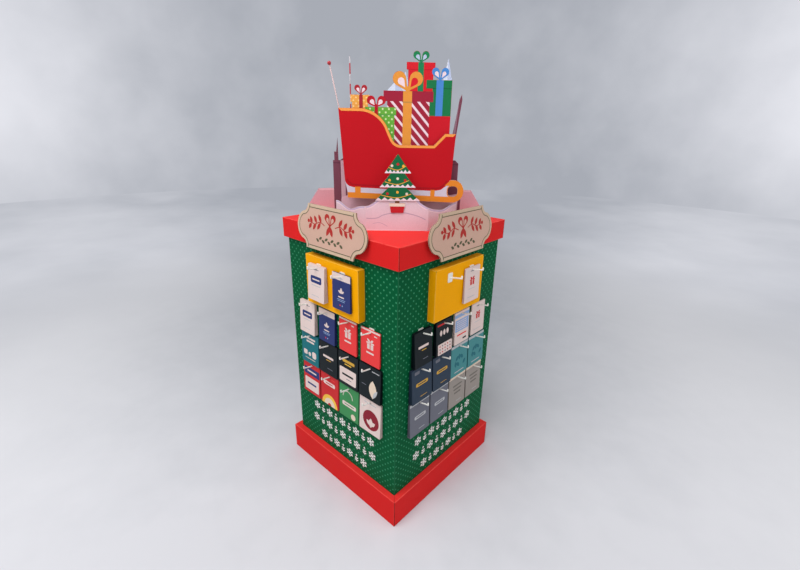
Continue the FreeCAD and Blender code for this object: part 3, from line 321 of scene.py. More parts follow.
def dot_rows_group():
    """Staggered rows of round dots: 1 inside a dot, 0 between them."""
    group, given, gives = new_group(
        "dot_rows",
        {"Along": "Float", "Up": "Float", "Pitch": "Float", "Radius": "Float"},
        {"Mask": "Float"},
    )
    row_pitch = calculate(group, "MULTIPLY", given["Pitch"], 0.5)
    rows = calculate(group, "DIVIDE", given["Up"], row_pitch)
    row = calculate(group, "FLOOR", rows)
    stagger = calculate(group, "MULTIPLY", calculate(group, "FLOORED_MODULO", row, 2.0), 0.5)
    columns = calculate(group, "DIVIDE", given["Along"], given["Pitch"])
    columns = calculate(group, "ADD", columns, stagger)
    across = calculate(group, "SUBTRACT", calculate(group, "FRACT", columns), 0.5)
    upward = calculate(group, "SUBTRACT", calculate(group, "FRACT", rows), 0.5)
    upward = calculate(group, "MULTIPLY", upward, 0.5)
    squares = [calculate(group, "MULTIPLY", way, way) for way in (across, upward)]
    away = calculate(group, "SQRT", calculate(group, "ADD", *squares))
    away = calculate(group, "MULTIPLY", away, given["Pitch"])
    edge = calculate(group, "MULTIPLY", given["Radius"], 0.15)
    inner = calculate(group, "SUBTRACT", given["Radius"], edge)
    outer = calculate(group, "ADD", given["Radius"], edge)
    join(group, ramp(group, away, inner, outer, 1.0, 0.0), gives["Mask"])
    return group


dot_rows = dot_rows_group()
GREEN = ink(0, 86, 50)
DOT_GREEN = ink(54, 138, 98)
RUBBED_GREEN = ink(70, 130, 98)
DOT_PITCH = 26 * MM
DOT_RADIUS = 3.1 * MM


def sleeve_board():
    material, tree, shader = new_material("green_dotted_board", LINER_GLOSS)
    axes = apply_group(tree, face_axes)
    dots = apply_group(
        tree, dot_rows, Along=axes["Along"], Up=axes["Up"], Pitch=DOT_PITCH, Radius=DOT_RADIUS
    )
    printed = mix_colours(tree, dots["Mask"], GREEN, DOT_GREEN)
    worn = rub_folds(tree, "body_sleeve", 3 * MM, 0.4, printed, RUBBED_GREEN)
    fluted_surface(tree, shader, worn, 0.2)
    return material


dotted_board = sleeve_board()
dress("body_sleeve", dotted_board)


def glue_flap():
    """The outer end of the sheet, lapped over the other end beside the hidden rear corner."""
    low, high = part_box("body_sleeve")
    clear = 1 * MM
    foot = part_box("base_tray")[1].z + clear
    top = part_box("cap_lid")[0].z - clear
    width, thickness, bevel = 34 * MM, 0.9 * MM, 0.5 * MM
    profile = (
        # out from the face, back from the corner
        (0, clear),
        (thickness - bevel, clear),
        (thickness, clear + bevel),
        (thickness, width - bevel),
        (thickness - bevel, width),
        (0, width),
    )
    mesh = bpy.data.meshes.new("sleeve_glue_flap")
    build = bmesh.new()
    lower, upper = [
        [build.verts.new((low.x - out, high.y - back, z)) for out, back in profile]
        for z in (foot, top)
    ]
    for number in range(len(profile)):
        following = (number + 1) % len(profile)
        build.faces.new((lower[number], lower[following], upper[following], upper[number]))
    build.faces.new(lower)
    build.faces.new(upper)
    bmesh.ops.recalc_face_normals(build, faces=build.faces)
    build.to_mesh(mesh)
    build.free()
    mesh.materials.append(dotted_board)
    flap = bpy.data.objects.new("sleeve_glue_flap", mesh)
    bpy.context.scene.collection.objects.link(flap)
    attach(flap, "root")


glue_flap()


# Printed ornament low on the two dressed faces
# Three rows of white snowflakes and sprigs with a dark green shadow, printed on the sleeve itself.
# Each is a thin layer of ink on the board.

INKS = {
    "white": (236, 234, 230),
    "shadow_green": (0, 50, 28),
}
# Each layer of ink lies on the one before, and shapes side by side in it differ by a hair
LAYER = 0.12 * MM
STEP = 0.012 * MM
STEPS = 9


def inked_surface(tree, shader, colour, mottle=0.14, shine=0.5, tooth=0.05 * MM):
    """A printed or painted surface: the colour with the paper's grain and tooth."""
    paper = apply_group(tree, paper_grain, Colour=colour, Mottle=mottle, Gloss=shine)
    surface(tree, shader, paper["Colour"], paper["Roughness"], paper["Height"], tooth)


def ink_material(colour):
    """A solid printed colour, made when it is first asked for."""
    name = colour + "_ink"
    if name in bpy.data.materials:
        return bpy.data.materials[name]
    material, tree, shader = new_material(name)
    inked_surface(tree, shader, ink(*INKS[colour]))
    return material


def face_plane(middle, across, out):
    """Takes a drawing (x across, y up, z out of the board) into the stand's frame."""
    turn = Matrix((across, out.cross(across), out)).transposed().to_4x4()
    return Matrix.Translation(middle) @ turn


def arc(x, y, radius, start, sweep, steps):
    """The points of an arc, from its start and over its sweep in so many steps."""
    turns = [start + sweep * number / steps for number in range(steps + 1)]
    return [(x + radius * math.cos(turn), y + radius * math.sin(turn)) for turn in turns]


def circle(x, y, radius, corners):
    return arc(x, y, radius, 0.0, math.tau, corners)[:-1]


def box(left, right, low, high, rounding=0.0):
    """A rectangle, or one with round corners."""
    if not rounding:
        return [(left, low), (right, low), (right, high), (left, high)]
    points = []
    quarter = math.pi / 2
    for x, y, start in (
        (right - rounding, high - rounding, 0),
        (left + rounding, high - rounding, quarter),
        (left + rounding, low + rounding, 2 * quarter),
        (right - rounding, low + rounding, 3 * quarter),
    ):
        points += arc(x, y, rounding, start, quarter, 4)
    return points


def turned(points, x, y, degrees):
    """The points turned about the origin, then moved to x, y."""
    turn = math.radians(degrees)
    cosine, sine = math.cos(turn), math.sin(turn)
    return [(x + a * cosine - b * sine, y + a * sine + b * cosine) for a, b in points]


def leaf(x, y, length, width, degrees):
    """A pointed leaf that grows from x, y."""
    steps = [number / 8 for number in range(9)]
    side = [(share * length, math.sin(math.pi * share) ** 0.8 * width / 2) for share in steps]
    other = [(a, -b) for a, b in reversed(side[1:-1])]
    return turned(side + other, x, y, degrees)


def smooth(points):
    """A soft line through the given points."""
    steps = 8
    ends = [points[0], *points, points[-1]]
    line = []
    for before, start, finish, after in zip(ends, ends[1:], ends[2:], ends[3:]):
        for number in range(steps):
            share = number / steps
            line.append(tuple(
                0.5 * (
                    2 * b + (c - a) * share
                    + (2 * a - 5 * b + 4 * c - d) * share ** 2
                    + (3 * b - a - 3 * c + d) * share ** 3
                )
                for a, b, c, d in zip(before, start, finish, after)
            ))
    return line + [points[-1]]


def beside(points, closed, distance):
    """The points moved to the left of their line by a distance."""
    moved = []
    last = len(points) - 1
    for number, point in enumerate(points):
        before = points[number - 1] if number or closed else None
        after = points[(number + 1) % len(points)] if number < last or closed else None
        ways = []
        for start, finish in ((before, point), (point, after)):
            if start and finish:
                way = Vector(finish) - Vector(start)
                ways.append(Vector((-way.y, way.x)).normalized())
        middle = sum(ways, Vector((0, 0))).normalized()
        stretch = max(middle.dot(ways[0]), 0.35)
        moved.append(tuple(Vector(point) + middle * distance / stretch))
    return moved


class Print:
    """Flat shapes of ink in millimetres, gathered into one thin layer on a board."""

    def __init__(self):
        self.shapes = []

    def fill(self, points, colour, layer=1):
        self.shapes.append((points, colour, layer))

    def line(self, points, width, colour, layer=1):
        """A drawn line of one width, as a strip of short pieces."""
        left = beside(points, False, width / 2)
        right = beside(points, False, -width / 2)
        for number in range(len(points) - 1):
            strip = [right[number], right[number + 1], left[number + 1], left[number]]
            self.shapes.append((strip, colour, layer))

    def band(self, loop, near, far, colour, layer=1, keep=None):
        """A band that follows a cut edge, from near to far inside it."""
        outer = beside(loop, True, near)
        inner = beside(loop, True, far)
        for number, point in enumerate(loop):
            following = (number + 1) % len(loop)
            if keep is None or keep(point, loop[following]):
                strip = [outer[number], outer[following], inner[following], inner[number]]
                self.shapes.append((strip, colour, layer))

    def lay(self, name, plane, slot):
        """Build the layer on a face's plane and fix it to the stand."""
        mesh = bpy.data.meshes.new(name)
        build = bmesh.new()
        colours = sorted({colour for points, colour, layer in self.shapes})
        for number, (points, colour, layer) in enumerate(self.shapes):
            lift = layer * LAYER + (number % STEPS) * STEP
            corners = [build.verts.new((x * MM, y * MM, lift)) for x, y in points]
            face = build.faces.new(corners)
            face.material_index = colours.index(colour)
            face.normal_update()
            if face.normal.z < 0:
                face.normal_flip()
        build.to_mesh(mesh)
        build.free()
        for colour in colours:
            mesh.materials.append(ink_material(colour))
        piece = bpy.data.objects.new(name, mesh)
        bpy.context.scene.collection.objects.link(piece)
        piece.matrix_world = plane
        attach(piece, "root")


def snowflake(drawing, x, y, radius, colour, layer):
    """Three crossed bars with a pair of short barbs on each arm."""
    width = radius * 0.19
    bar = box(-radius, radius, -width / 2, width / 2, width * 0.45)
    barb = box(0, radius * 0.36, -width / 2, width / 2, width * 0.45)
    for turn in (30, 90, 150):
        drawing.fill(turned(bar, x, y, turn), colour, layer)
    for turn in range(30, 390, 60):
        foot = turned([(radius * 0.52, 0)], x, y, turn)[0]
        for lean in (-50, 50):
            drawing.fill(turned(barb, *foot, turn + lean), colour, layer)


def sprig(drawing, x, y, reach, colour, layer):
    """A short stem with paired leaves and a berry."""
    drawing.fill(box(x - reach * 0.05, x + reach * 0.05, y - reach, y + reach * 0.3), colour, layer)
    for height, length in ((-0.75, 0.62), (-0.25, 0.56)):
        for turn in (35, 145):
            blade = leaf(x, y + height * reach, length * reach, reach * 0.30, turn)
            drawing.fill(blade, colour, layer)
    drawing.fill(circle(x, y + reach * 0.62, reach * 0.2, 14), colour, layer)


ORNAMENT_ROWS = (
    # height above the floor, half width of the row, motifs
    (281, 158, 9),
    (220, 166, 9),
    (157, 118, 7),
)
MOTIF_RADIUS = 20
SHADOW_SHIFT = (1.8, -1.8)


def face_ornament():
    drawing = Print()
    for colour, layer, shift in (("shadow_green", 1, SHADOW_SHIFT), ("white", 3, (0, 0))):
        for height, half, count in ORNAMENT_ROWS:
            for number in range(count):
                x = -half + 2 * half * number / (count - 1) + shift[0]
                motif = sprig if number % 2 else snowflake
                motif(drawing, x, height + shift[1], MOTIF_RADIUS, colour, layer)
    return drawing


sleeve_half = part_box("body_sleeve")[1].x
X_AXIS, Y_AXIS, Z_AXIS = Vector((1, 0, 0)), Vector((0, 1, 0)), Vector((0, 0, 1))
LEFT_FACE = face_plane(-Y_AXIS * sleeve_half, X_AXIS, -Y_AXIS)
RIGHT_FACE = face_plane(X_AXIS * sleeve_half, Y_AXIS, X_AXIS)
face_ornament().lay("sleeve_ornament_left", LEFT_FACE, "green_board")
face_ornament().lay("sleeve_ornament_right", RIGHT_FACE, "green_board")


# Dividers
# Two sheets of unprinted 4 mm corrugated board, halved into each other, stand inside the sleeve
# and carry the cap. The flutes show at their cut edges.

HOLLOW_SHADE = (0.02, 0.012, 0.008, 1.0)


def cut_board_group():
    """A flat board: print on its front, kraft behind, and the flutes in its cut edges."""
    group, given, gives = new_group(
        "cut_board",
        {
            "Print": "Color",
            "Kraft": "Color",
            "Facing": "Vector",
            "Across": "Vector",
            "Middle": "Float",
            "Thickness": "Float",
        },
        {"Colour": "Color", "Height": "Float"},
    )
    coordinates = group.nodes.new("ShaderNodeTexCoord").outputs
    facing = calculate_vector(group, "DOT_PRODUCT", coordinates["Normal"], given["Facing"])
    depth = calculate_vector(group, "DOT_PRODUCT", coordinates["Object"], given["Facing"])
    depth = calculate(group, "SUBTRACT", depth, given["Middle"])
    along = calculate_vector(group, "DOT_PRODUCT", coordinates["Object"], given["Across"])
    swing = calculate(group, "SINE", calculate(group, "MULTIPLY", along, math.tau / FLUTE_PITCH))
    flute = calculate(group, "MULTIPLY", swing, 0.36)
    flute = calculate(group, "MULTIPLY", flute, given["Thickness"])
    gap = calculate(group, "ABSOLUTE", calculate(group, "SUBTRACT", depth, flute))
    wall = calculate(group, "MULTIPLY", given["Thickness"], 0.09)
    on_flute = calculate(group, "LESS_THAN", gap, wall)
    liner = calculate(group, "MULTIPLY", given["Thickness"], 0.40)
    on_liner = calculate(group, "GREATER_THAN", calculate(group, "ABSOLUTE", depth), liner)
    paper = calculate(group, "MAXIMUM", on_flute, on_liner)
    hollow = mix_colours(group, 0.75, given["Kraft"], HOLLOW_SHADE)
    cut_edge = mix_colours(group, paper, hollow, given["Kraft"])
    is_edge = calculate(group, "LESS_THAN", calculate(group, "ABSOLUTE", facing), 0.5)
    is_front = calculate(group, "GREATER_THAN", facing, 0.5)
    flat = mix_colours(group, is_front, given["Kraft"], given["Print"])
    join(group, mix_colours(group, is_edge, flat, cut_edge), gives["Colour"])
    solid = calculate(group, "MAXIMUM", paper, calculate(group, "SUBTRACT", 1.0, is_edge))
    join(group, calculate(group, "MULTIPLY", solid, 4.0), gives["Height"])
    return group


cut_board = cut_board_group()
KRAFT = ink(176, 138, 98)
WHITE_BACK = ink(206, 200, 192)


def middle_of(node, out):
    """How far the middle of a flat board lies along the way that it faces."""
    reaches = [vertex.co.dot(out) for vertex in nodes[node].data.vertices]
    return (min(reaches) + max(reaches)) / 2


def flat_board(name, node, colour, back, out, across, thickness):
    """Flat printed board, from the colour of its print to its cut edges."""
    material, tree, shader = new_material(name)
    board = apply_group(
        tree,
        cut_board,
        Print=colour,
        Kraft=back,
        Facing=out,
        Across=across,
        Middle=middle_of(node, out),
        Thickness=thickness,
    )
    paper = apply_group(tree, paper_grain, Colour=board["Colour"], Mottle=0.16, Gloss=0.4)
    relief = calculate(tree, "ADD", board["Height"], paper["Height"])
    surface(tree, shader, paper["Colour"], paper["Roughness"], relief, 0.1 * MM)
    return material


for divider, out, across in (
    ("divider_slot_up", Y_AXIS, X_AXIS),
    ("divider_slot_down", X_AXIS, Y_AXIS),
):
    dress(divider, flat_board(divider + "_kraft", divider, KRAFT, KRAFT, out, across, 4 * MM))


# Yellow trays
# Two shallow trays folded from 3 mm board, printed yellow and glued to the dressed faces. Their
# corners are simple butt joints that leave a thin dark gap.

YELLOW = ink(246, 168, 0)
# Paler yellow of the rubbed folds, also used for the painted sheen on the trays' top faces
YELLOW_WEAR_AND_SHEEN = ink(246, 196, 84)
YELLOW_SHADE = ink(96, 58, 6)
OPEN_REACH = 6 * MM
for side in ("left", "right"):
    tray = "yellow_panel_" + side
    dress(tray, box_board(tray + "_board", tray, YELLOW, YELLOW_WEAR_AND_SHEEN, YELLOW_SHADE, OPEN_REACH))


# Hooks
# White push-in hooks moulded in one piece: a back plate with two barbed prongs through the board
# and a sloping arm with a turned-up tip. The plastic is satin and slightly uneven.

HOOK_WHITE = ink(238, 237, 232)
HOOK_GREY = ink(190, 186, 176)


def moulded_plastic():
    material, tree, shader = new_material("white_hook_plastic", gloss=0.5, coat=0.1)
    position = own_place(tree)
    clouds = noise(tree, position, 60)
    tint = mix_colours(tree, ramp(tree, clouds, 0.3, 0.7, 0.0, 0.12), HOOK_WHITE, HOOK_GREY)
    roughness = ramp(tree, clouds, 0.3, 0.7, 0.3, 0.42)
    surface(tree, shader, tint, roughness, noise(tree, position, 1400), 0.02 * MM)
    return material


hook_plastic = moulded_plastic()
for group in ("left_face", "right_face", "left_panel", "right_panel"):
    dress("hooks_" + group, hook_plastic)


# Card stacks
# Carrier cards of coated paperboard, some with a plastic card glued on, hang by a punched hole in
# piles on the hooks. They lie close at the hole and fan out below, a little out of line.

INKS.update({
    "paper": (224, 204, 199),
    "navy": (38, 52, 110),
    "blue": (43, 53, 108),
    "coral": (230, 59, 60),
    "teal": (16, 108, 118),
    "black": (12, 22, 27),
    "gold": (206, 160, 60),
    "cream": (226, 206, 186),
    "scarlet": (198, 38, 42),
    "sun": (238, 190, 70),
    "meadow": (60, 138, 82),
    "maroon": (136, 26, 44),
    "sky": (140, 168, 210),
    "slate": (43, 58, 76),
    "lagoon": (68, 136, 140),
    "deep_lagoon": (34, 104, 116),
    "grey": (107, 109, 121),
    "silver": (184, 186, 190),
    "taupe": (152, 144, 138),
    "dark_taupe": (112, 106, 100),
})
SPECKS = ("scarlet", "grey", "maroon")
CARD_DESIGNS = {
    # the ground, then each shape with its colour and its place in hundredths of the card:
    # a bar's or plate's middle, width, height and rounding, a disc's or ring's middle and radius,
    # a leaf's foot, length, width and turn
    "badge": ("paper", (
        ("bar", "navy", 50, 40, 66, 20, 7),
        ("bar", "paper", 50, 40, 44, 4, 2),
        ("bar", "silver", 50, 57, 54, 2, 1),
        ("bar", "silver", 46, 86, 46, 1.5, 0.7),
        ("bar", "grey", 50, 12, 34, 2, 1),
    )),
    "blue_header": ("blue", (
        ("bar", "paper", 50, 9, 100, 18, 0),
        ("bar", "silver", 46, 13, 30, 2, 1),
        ("leaf", "paper", 50, 54, 24, 12, 90),
        ("leaf", "paper", 50, 52, 18, 9, 30),
        ("leaf", "paper", 50, 52, 18, 9, 150),
        ("bar", "paper", 50, 63, 32, 3.4, 1.7),
        ("bar", "sky", 50, 70, 46, 1.6, 0.8),
        ("bar", "sky", 50, 74, 40, 1.6, 0.8),
        ("disc", "coral", 44, 86, 3),
        ("disc", "sky", 56, 86, 3),
    )),
    "coral_gift": ("coral", (
        ("bar", "paper", 50, 2.5, 100, 5, 0),
        ("bar", "paper", 50, 48, 32, 15, 2),
        ("bar", "paper", 50, 37.5, 40, 4.5, 1.5),
        ("bar", "coral", 50, 45.5, 4, 21, 0),
        *(("leaf", "paper", 50, 35, 20, 9, turn) for turn in (35, 145)),
        ("bar", "paper", 50, 66, 40, 5, 2.5),
        ("bar", "paper", 78, 13, 16, 3, 1.5),
    )),
    "teal_blocks": ("teal", (
        ("bar", "paper", 50, 17, 62, 6, 2),
        ("bar", "paper", 52, 27, 46, 6, 2),
        ("bar", "paper", 22, 66, 22, 16, 5),
        ("disc", "paper", 47, 68, 8),
        ("bar", "paper", 74, 66, 24, 22, 8),
        ("bar", "cream", 50, 84, 60, 2, 1),
    )),
    "black_bar": ("black", (
        ("bar", "paper", 50, 44, 58, 7, 3.5),
        ("bar", "gold", 52, 54, 26, 2.4, 1.2),
        ("bar", "grey", 60, 80, 30, 2, 1),
    )),
    "gold_tag": ("black", (
        ("bar", "gold", 52, 24, 62, 9, 4.5),
        ("bar", "sun", 50, 34, 34, 3, 1.5),
        ("plate", "paper", 50, 68, 84, 44, 5),
        ("bar", "black", 50, 66, 58, 6, 3),
        ("bar", "grey", 56, 78, 26, 2, 1),
    )),
    "pale_leaf": ("black", (
        ("leaf", "cream", 66, 92, 66, 34, 92),
        ("leaf", "silver", 66, 90, 40, 12, 60),
        ("bar", "silver", 76, 12, 34, 2.4, 1.2),
        ("bar", "grey", 24, 60, 22, 2, 1),
    )),
    "banded": ("scarlet", (
        ("bar", "navy", 50, 28, 92, 24, 0),
        ("bar", "paper", 50, 28, 56, 5, 2.5),
        ("plate", "paper", 50, 70, 84, 40, 4),
        ("bar", "navy", 50, 68, 54, 6, 3),
    )),
    "sunrise": ("scarlet", (
        ("bar", "paper", 48, 30, 66, 12, 6),
        ("bar", "scarlet", 48, 30, 40, 3, 1.5),
        ("half", "sun", 50, 100, 44),
        ("half", "cream", 50, 100, 30),
        ("half", "scarlet", 50, 100, 10),
        ("bar", "coral", 72, 13, 20, 2.4, 1.2),
    )),
    "fairway": ("meadow", (
        ("ring", "paper", 44, 36, 26, 3),
        ("bar", "meadow", 44, 50, 64, 26, 0),
        ("bar", "paper", 52, 58, 72, 13, 5),
        ("bar", "meadow", 52, 58, 50, 3, 1.5),
        ("disc", "cream", 74, 88, 12),
    )),
    "rosette": ("paper", (
        ("disc", "maroon", 55, 60, 38),
        ("leaf", "paper", 55, 82, 36, 20, 90),
        ("leaf", "paper", 55, 76, 26, 14, 40),
        ("leaf", "paper", 55, 76, 26, 14, 140),
        ("bar", "silver", 50, 12, 56, 2.4, 1.2),
    )),
    "tagged": ("black", (
        *(("leaf", "paper", 30 + 20 * step, 44, 26, 15, 90) for step in range(3)),
        ("bar", "scarlet", 34, 10, 52, 5, 1),
        ("plate", "paper", 54, 82, 88, 32, 5),
        *(
            ("disc", SPECKS[(row + column) % 3], 22 + 16 * column, 73 + 9 * row, 3.4)
            for row in range(3)
            for column in range(5)
        ),
    )),
    "document": ("paper", (
        ("bar", "sky", 50, 12, 100, 10, 0),
        ("bar", "sky", 50, 42, 92, 36, 2),
        *(("bar", "paper", 48, 30 + 6 * row, 70, 2, 1) for row in range(5)),
        ("bar", "coral", 50, 72, 66, 4, 2),
        ("bar", "black", 70, 88, 26, 5, 2.5),
    )),
    "red_gift": ("paper", (
        ("bar", "scarlet", 50, 46, 28, 12, 2),
        ("bar", "scarlet", 50, 37.5, 34, 4, 1.5),
        ("bar", "paper", 50, 44, 4, 18, 0),
        *(("leaf", "scarlet", 50, 35.5, 18, 9, turn) for turn in (35, 145)),
        ("bar", "silver", 50, 62, 46, 1.6, 0.8),
        ("bar", "grey", 50, 11, 30, 2, 1),
        ("bar", "silver", 46, 86, 50, 1.6, 0.8),
    )),
    "slate_gold": ("slate", (
        ("bar", "gold", 50, 48, 60, 10, 5),
        ("bar", "slate", 50, 48, 42, 3, 1.5),
        ("bar", "gold", 58, 86, 34, 1.6, 0.8),
        ("bar", "grey", 26, 12, 24, 9, 3),
    )),
    "lagoon_leaves": ("lagoon", (
        ("bar", "silver", 50, 4, 100, 8, 0),
        *(
            ("leaf", "deep_lagoon", 28 + 22 * column, 52 + 20 * row, 24, 13, turn)
            for row, turns in enumerate(((50, 90, 130), (90, 130, 50)))
            for column, turn in enumerate(turns)
        ),
        ("bar", "silver", 50, 88, 56, 3, 1.5),
    )),
    "silver_bar": ("grey", (
        ("bar", "silver", 52, 48, 58, 10, 5),
        ("bar", "grey", 52, 48, 40, 3, 1.5),
        ("bar", "silver", 50, 4, 100, 8, 0),
        ("bar", "silver", 60, 86, 30, 1.6, 0.8),
    )),
    "taupe_lines": ("taupe", (
        *(("bar", "dark_taupe", 52, 34 + 12 * row, 56 - 8 * row, 5, 2.5) for row in range(3)),
        ("bar", "cream", 50, 4, 100, 8, 0),
        ("bar", "silver", 62, 86, 30, 1.6, 0.8),
    )),
}
CARD_PLACES = {
    "cards_left_row1": ("badge", "blue_header", "coral_gift", "coral_gift"),
    "cards_left_row2": ("teal_blocks", "black_bar", "gold_tag", "pale_leaf"),
    "cards_left_row3": ("banded", "sunrise", "fairway", "rosette"),
    "cards_right_row1": ("black_bar", "tagged", "document", "red_gift"),
    "cards_right_row2": ("slate_gold", "slate_gold", "lagoon_leaves", "lagoon_leaves"),
    "cards_right_row3": ("silver_bar", "silver_bar", "taupe_lines", "taupe_lines"),
    "cards_left_panel": ("badge", "blue_header"),
    "cards_right_panel": (None, "red_gift"),
}
HOLE_BELOW_TOP = 12
HOLE_RADIUS = 4.5
CARD_ROUNDING = 3
CARD_THICKNESS = 0.5
CARD_SPACING = 1.3
CARD_TILT = 0.3
CARD_SHIFT = 0.4
FEWEST_CARDS = 4
TOP_SHARE = 0.56
PLASTIC_CARD = 0.8
MARK_LIFT = 0.04


def shape_points(kind, places, width, height):
    """One shape of a design, in millimetres from the middle of the card's upper edge."""
    x = (places[0] - 50) / 100 * width
    y = -places[1] / 100 * height
    unit = width / 100
    if kind in ("bar", "plate"):
        half = places[2] * unit / 2
        tall = places[3] * height / 200
        return box(x - half, x + half, y - tall, y + tall, min(places[4] * unit, tall, half) * 0.98)
    if kind == "disc":
        return circle(x, y, places[2] * unit, 28)
    if kind == "half":
        return arc(x, y, places[2] * unit, 0.0, math.pi, 18)
    return leaf(x, y, places[2] * unit, places[3] * unit, places[4])


class Stack:
    """A pile of carrier cards that hangs at one hook, built as one mesh."""

    def __init__(self, width, height, depth, seed):
        self.build = bmesh.new()
        self.width = width
        self.height = height
        self.depth = depth
        self.colours = []
        self.chance = random.Random(seed)

    def reach(self, y):
        """The wedge's full thickness at a height below the upper edge."""
        return self.depth * (TOP_SHARE + (1 - TOP_SHARE) * -y / self.height)

    def slot(self, colour):
        if colour not in self.colours:
            self.colours.append(colour)
        return self.colours.index(colour)

    def face(self, corners, colour):
        face = self.build.faces.new(corners)
        face.material_index = self.slot(colour)
        return face

    def sides(self, back, front, colour):
        """The cut edge between two loops of corners."""
        for number in range(len(back)):
            following = (number + 1) % len(back)
            self.face([back[number], back[following], front[following], front[number]], colour)

    def card(self, share, colour, turn, shift):
        """One card of the pile, at its share of the wedge's thickness."""
        outer = box(-self.width / 2, self.width / 2, -self.height, 0, CARD_ROUNDING)
        hole = circle(0, -HOLE_BELOW_TOP, HOLE_RADIUS, 16)
        points = []
        for x, y in outer + hole:
            place = turned([(x, y + HOLE_BELOW_TOP)], shift, -HOLE_BELOW_TOP, turn)[0]
            points.append(Vector((*place, share * (self.reach(y) - CARD_THICKNESS))))
        edge = len(outer)
        thickness = Vector((0, 0, CARD_THICKNESS))
        back = [self.build.verts.new(point * MM) for point in points]
        front = [self.build.verts.new((point + thickness) * MM) for point in points]
        for triangle in tessellate_polygon([points[:edge], points[edge:]]):
            self.face([front[index] for index in triangle], colour)
            self.face([back[index] for index in reversed(triangle)], colour)
        self.sides(back[:edge], front[:edge], colour)
        self.sides(back[edge:], front[edge:], colour)

    def mark(self, points, colour, lift):
        """One printed shape on the foremost card. Returns its corners."""
        corners = [
            self.build.verts.new((x * MM, y * MM, (self.reach(y) + lift) * MM)) for x, y in points
        ]
        self.face(corners, colour)
        return corners

    def design(self, shapes):
        """The foremost card's print, each shape a hair above the one before."""
        lift = 0.0
        for kind, colour, *places in shapes:
            lift += MARK_LIFT
            if kind == "ring":
                x, y, radius, line = places
                rim = shape_points("disc", (x, y, radius), self.width, self.height)
                inner = shape_points("disc", (x, y, radius - line), self.width, self.height)
                for step in range(len(rim)):
                    following = (step + 1) % len(rim)
                    strip = [rim[step], rim[following], inner[following], inner[step]]
                    self.mark(strip, colour, lift)
                continue
            points = shape_points(kind, places, self.width, self.height)
            foot = self.mark(points, colour, lift)
            if kind == "plate":
                lift += PLASTIC_CARD
                self.sides(foot, self.mark(points, colour, lift), colour)

    def finish(self, name):
        self.build.normal_update()
        bmesh.ops.recalc_face_normals(self.build, faces=self.build.faces)
        for face in self.build.faces:
            if len(face.edges[0].link_faces) == 1 and face.normal.z < 0:
                face.normal_flip()
        mesh = bpy.data.meshes.new(name)
        self.build.to_mesh(mesh)
        self.build.free()
        for colour in self.colours:
            mesh.materials.append(ink_material(colour))
        return bpy.data.objects.new(name, mesh)


def hang_stack(node, design, across, out, seed):
    """Build the pile that takes the place of one wedge of cards."""
    low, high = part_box(node)
    middle = (low + high) / 2
    depth = abs((high - low).dot(out))
    width = abs((high - low).dot(across))
    wall = middle - out * depth / 2
    stack = Stack(width / MM, (high.z - low.z) / MM, depth / MM, seed)
    ground, shapes = CARD_DESIGNS[design]
    count = max(FEWEST_CARDS, round(depth / MM / CARD_SPACING))
    for number in range(count):
        last = number == count - 1
        turn = 0 if last else stack.chance.uniform(-CARD_TILT, CARD_TILT)
        shift = 0 if last else stack.chance.uniform(-CARD_SHIFT, CARD_SHIFT)
        stack.card(number / (count - 1), ground, turn, shift)
    stack.design(shapes)
    piece = stack.finish(node + "_pile")
    bpy.context.scene.collection.objects.link(piece)
    piece.matrix_world = face_plane(Vector((wall.x, wall.y, high.z)), across, out)
    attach(piece, "root")
    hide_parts(node)


for seed, (row, designs) in enumerate(CARD_PLACES.items()):
    across, out = (X_AXIS, -Y_AXIS) if "left" in row else (Y_AXIS, X_AXIS)
    for number, design in enumerate(designs, start=1):
        if design:
            hang_stack(f"{row}_{number}", design, across, out, 10 * seed + number)


# Cap
# A red tray like the base, turned upside down over the sleeve. Its skirt shows the same open
# mitres, and its top carries the winter scene.

# Its top face carries the painted sheen of box_board, lightened towards the rubbed red
dress("cap_lid", box_board("red_cap_board", "cap_lid", *RED_PRINT, WHOLE_CORNER))


# Plaques and their wedges
# Die-cut signs of 5 mm board printed tan, with an olive border line, which lean on folded kraft
# wedges in front of the cap's skirt.

NEARLY_FACING = math.radians(12)
# Stands for the angle of a sliver that has no normal
NO_NORMAL = 3
SAME_LEVEL = 0.2 * MM


def front(node, toward, origin=None):
    """The outermost flat face of a board on one side.

    Returns its plane, with its own middle or the given point as origin, and its cut edges as
    loops in millimetres, the board to the left of each.
    """
    mesh = nodes[node].data
    facing = [p for p in mesh.polygons if p.normal.angle(toward, NO_NORMAL) < NEARLY_FACING]
    out = facing[0].normal.copy()
    most = max(p.center.dot(out) for p in facing)
    facing = [p for p in facing if most - p.center.dot(out) < SAME_LEVEL]
    across = Z_AXIS.cross(out).normalized()
    corners = [mesh.vertices[index].co for p in facing for index in p.vertices]
    if origin is None:
        low = Vector([min(corner[axis] for corner in corners) for axis in range(3)])
        high = Vector([max(corner[axis] for corner in corners) for axis in range(3)])
        origin = (low + high) / 2
    origin = origin + out * (most - origin.dot(out))
    plane = face_plane(origin, across, out)
    to_plane = plane.inverted()
    # A side that two polygons share runs both ways and drops out; the cut edges are left
    places = {}
    sides = {}
    for polygon in facing:
        keys = []
        for index in polygon.vertices:
            point = (to_plane @ mesh.vertices[index].co).xy / MM
            key = (round(point.x, 2), round(point.y, 2))
            places[key] = tuple(point)
            keys.append(key)
        for start, finish in zip(keys, keys[1:] + keys[:1]):
            if (finish, start) in sides:
                del sides[finish, start]
            else:
                sides[start, finish] = True
    following = {start: finish for start, finish in sides}
    loops = []
    while following:
        key = next(iter(following))
        loop = []
        while key in following:
            loop.append(places[key])
            key = following.pop(key)
        loops.append(loop)
    return plane, sorted(loops, key=len, reverse=True)


INKS.update({"olive": (84, 84, 60), "sign_red": (172, 44, 40), "sign_pink": (201, 164, 147)})
TAN = ink(200, 174, 150)
PLAQUE_BOARD = 5 * MM
FOLDED_BOARD = 8 * MM


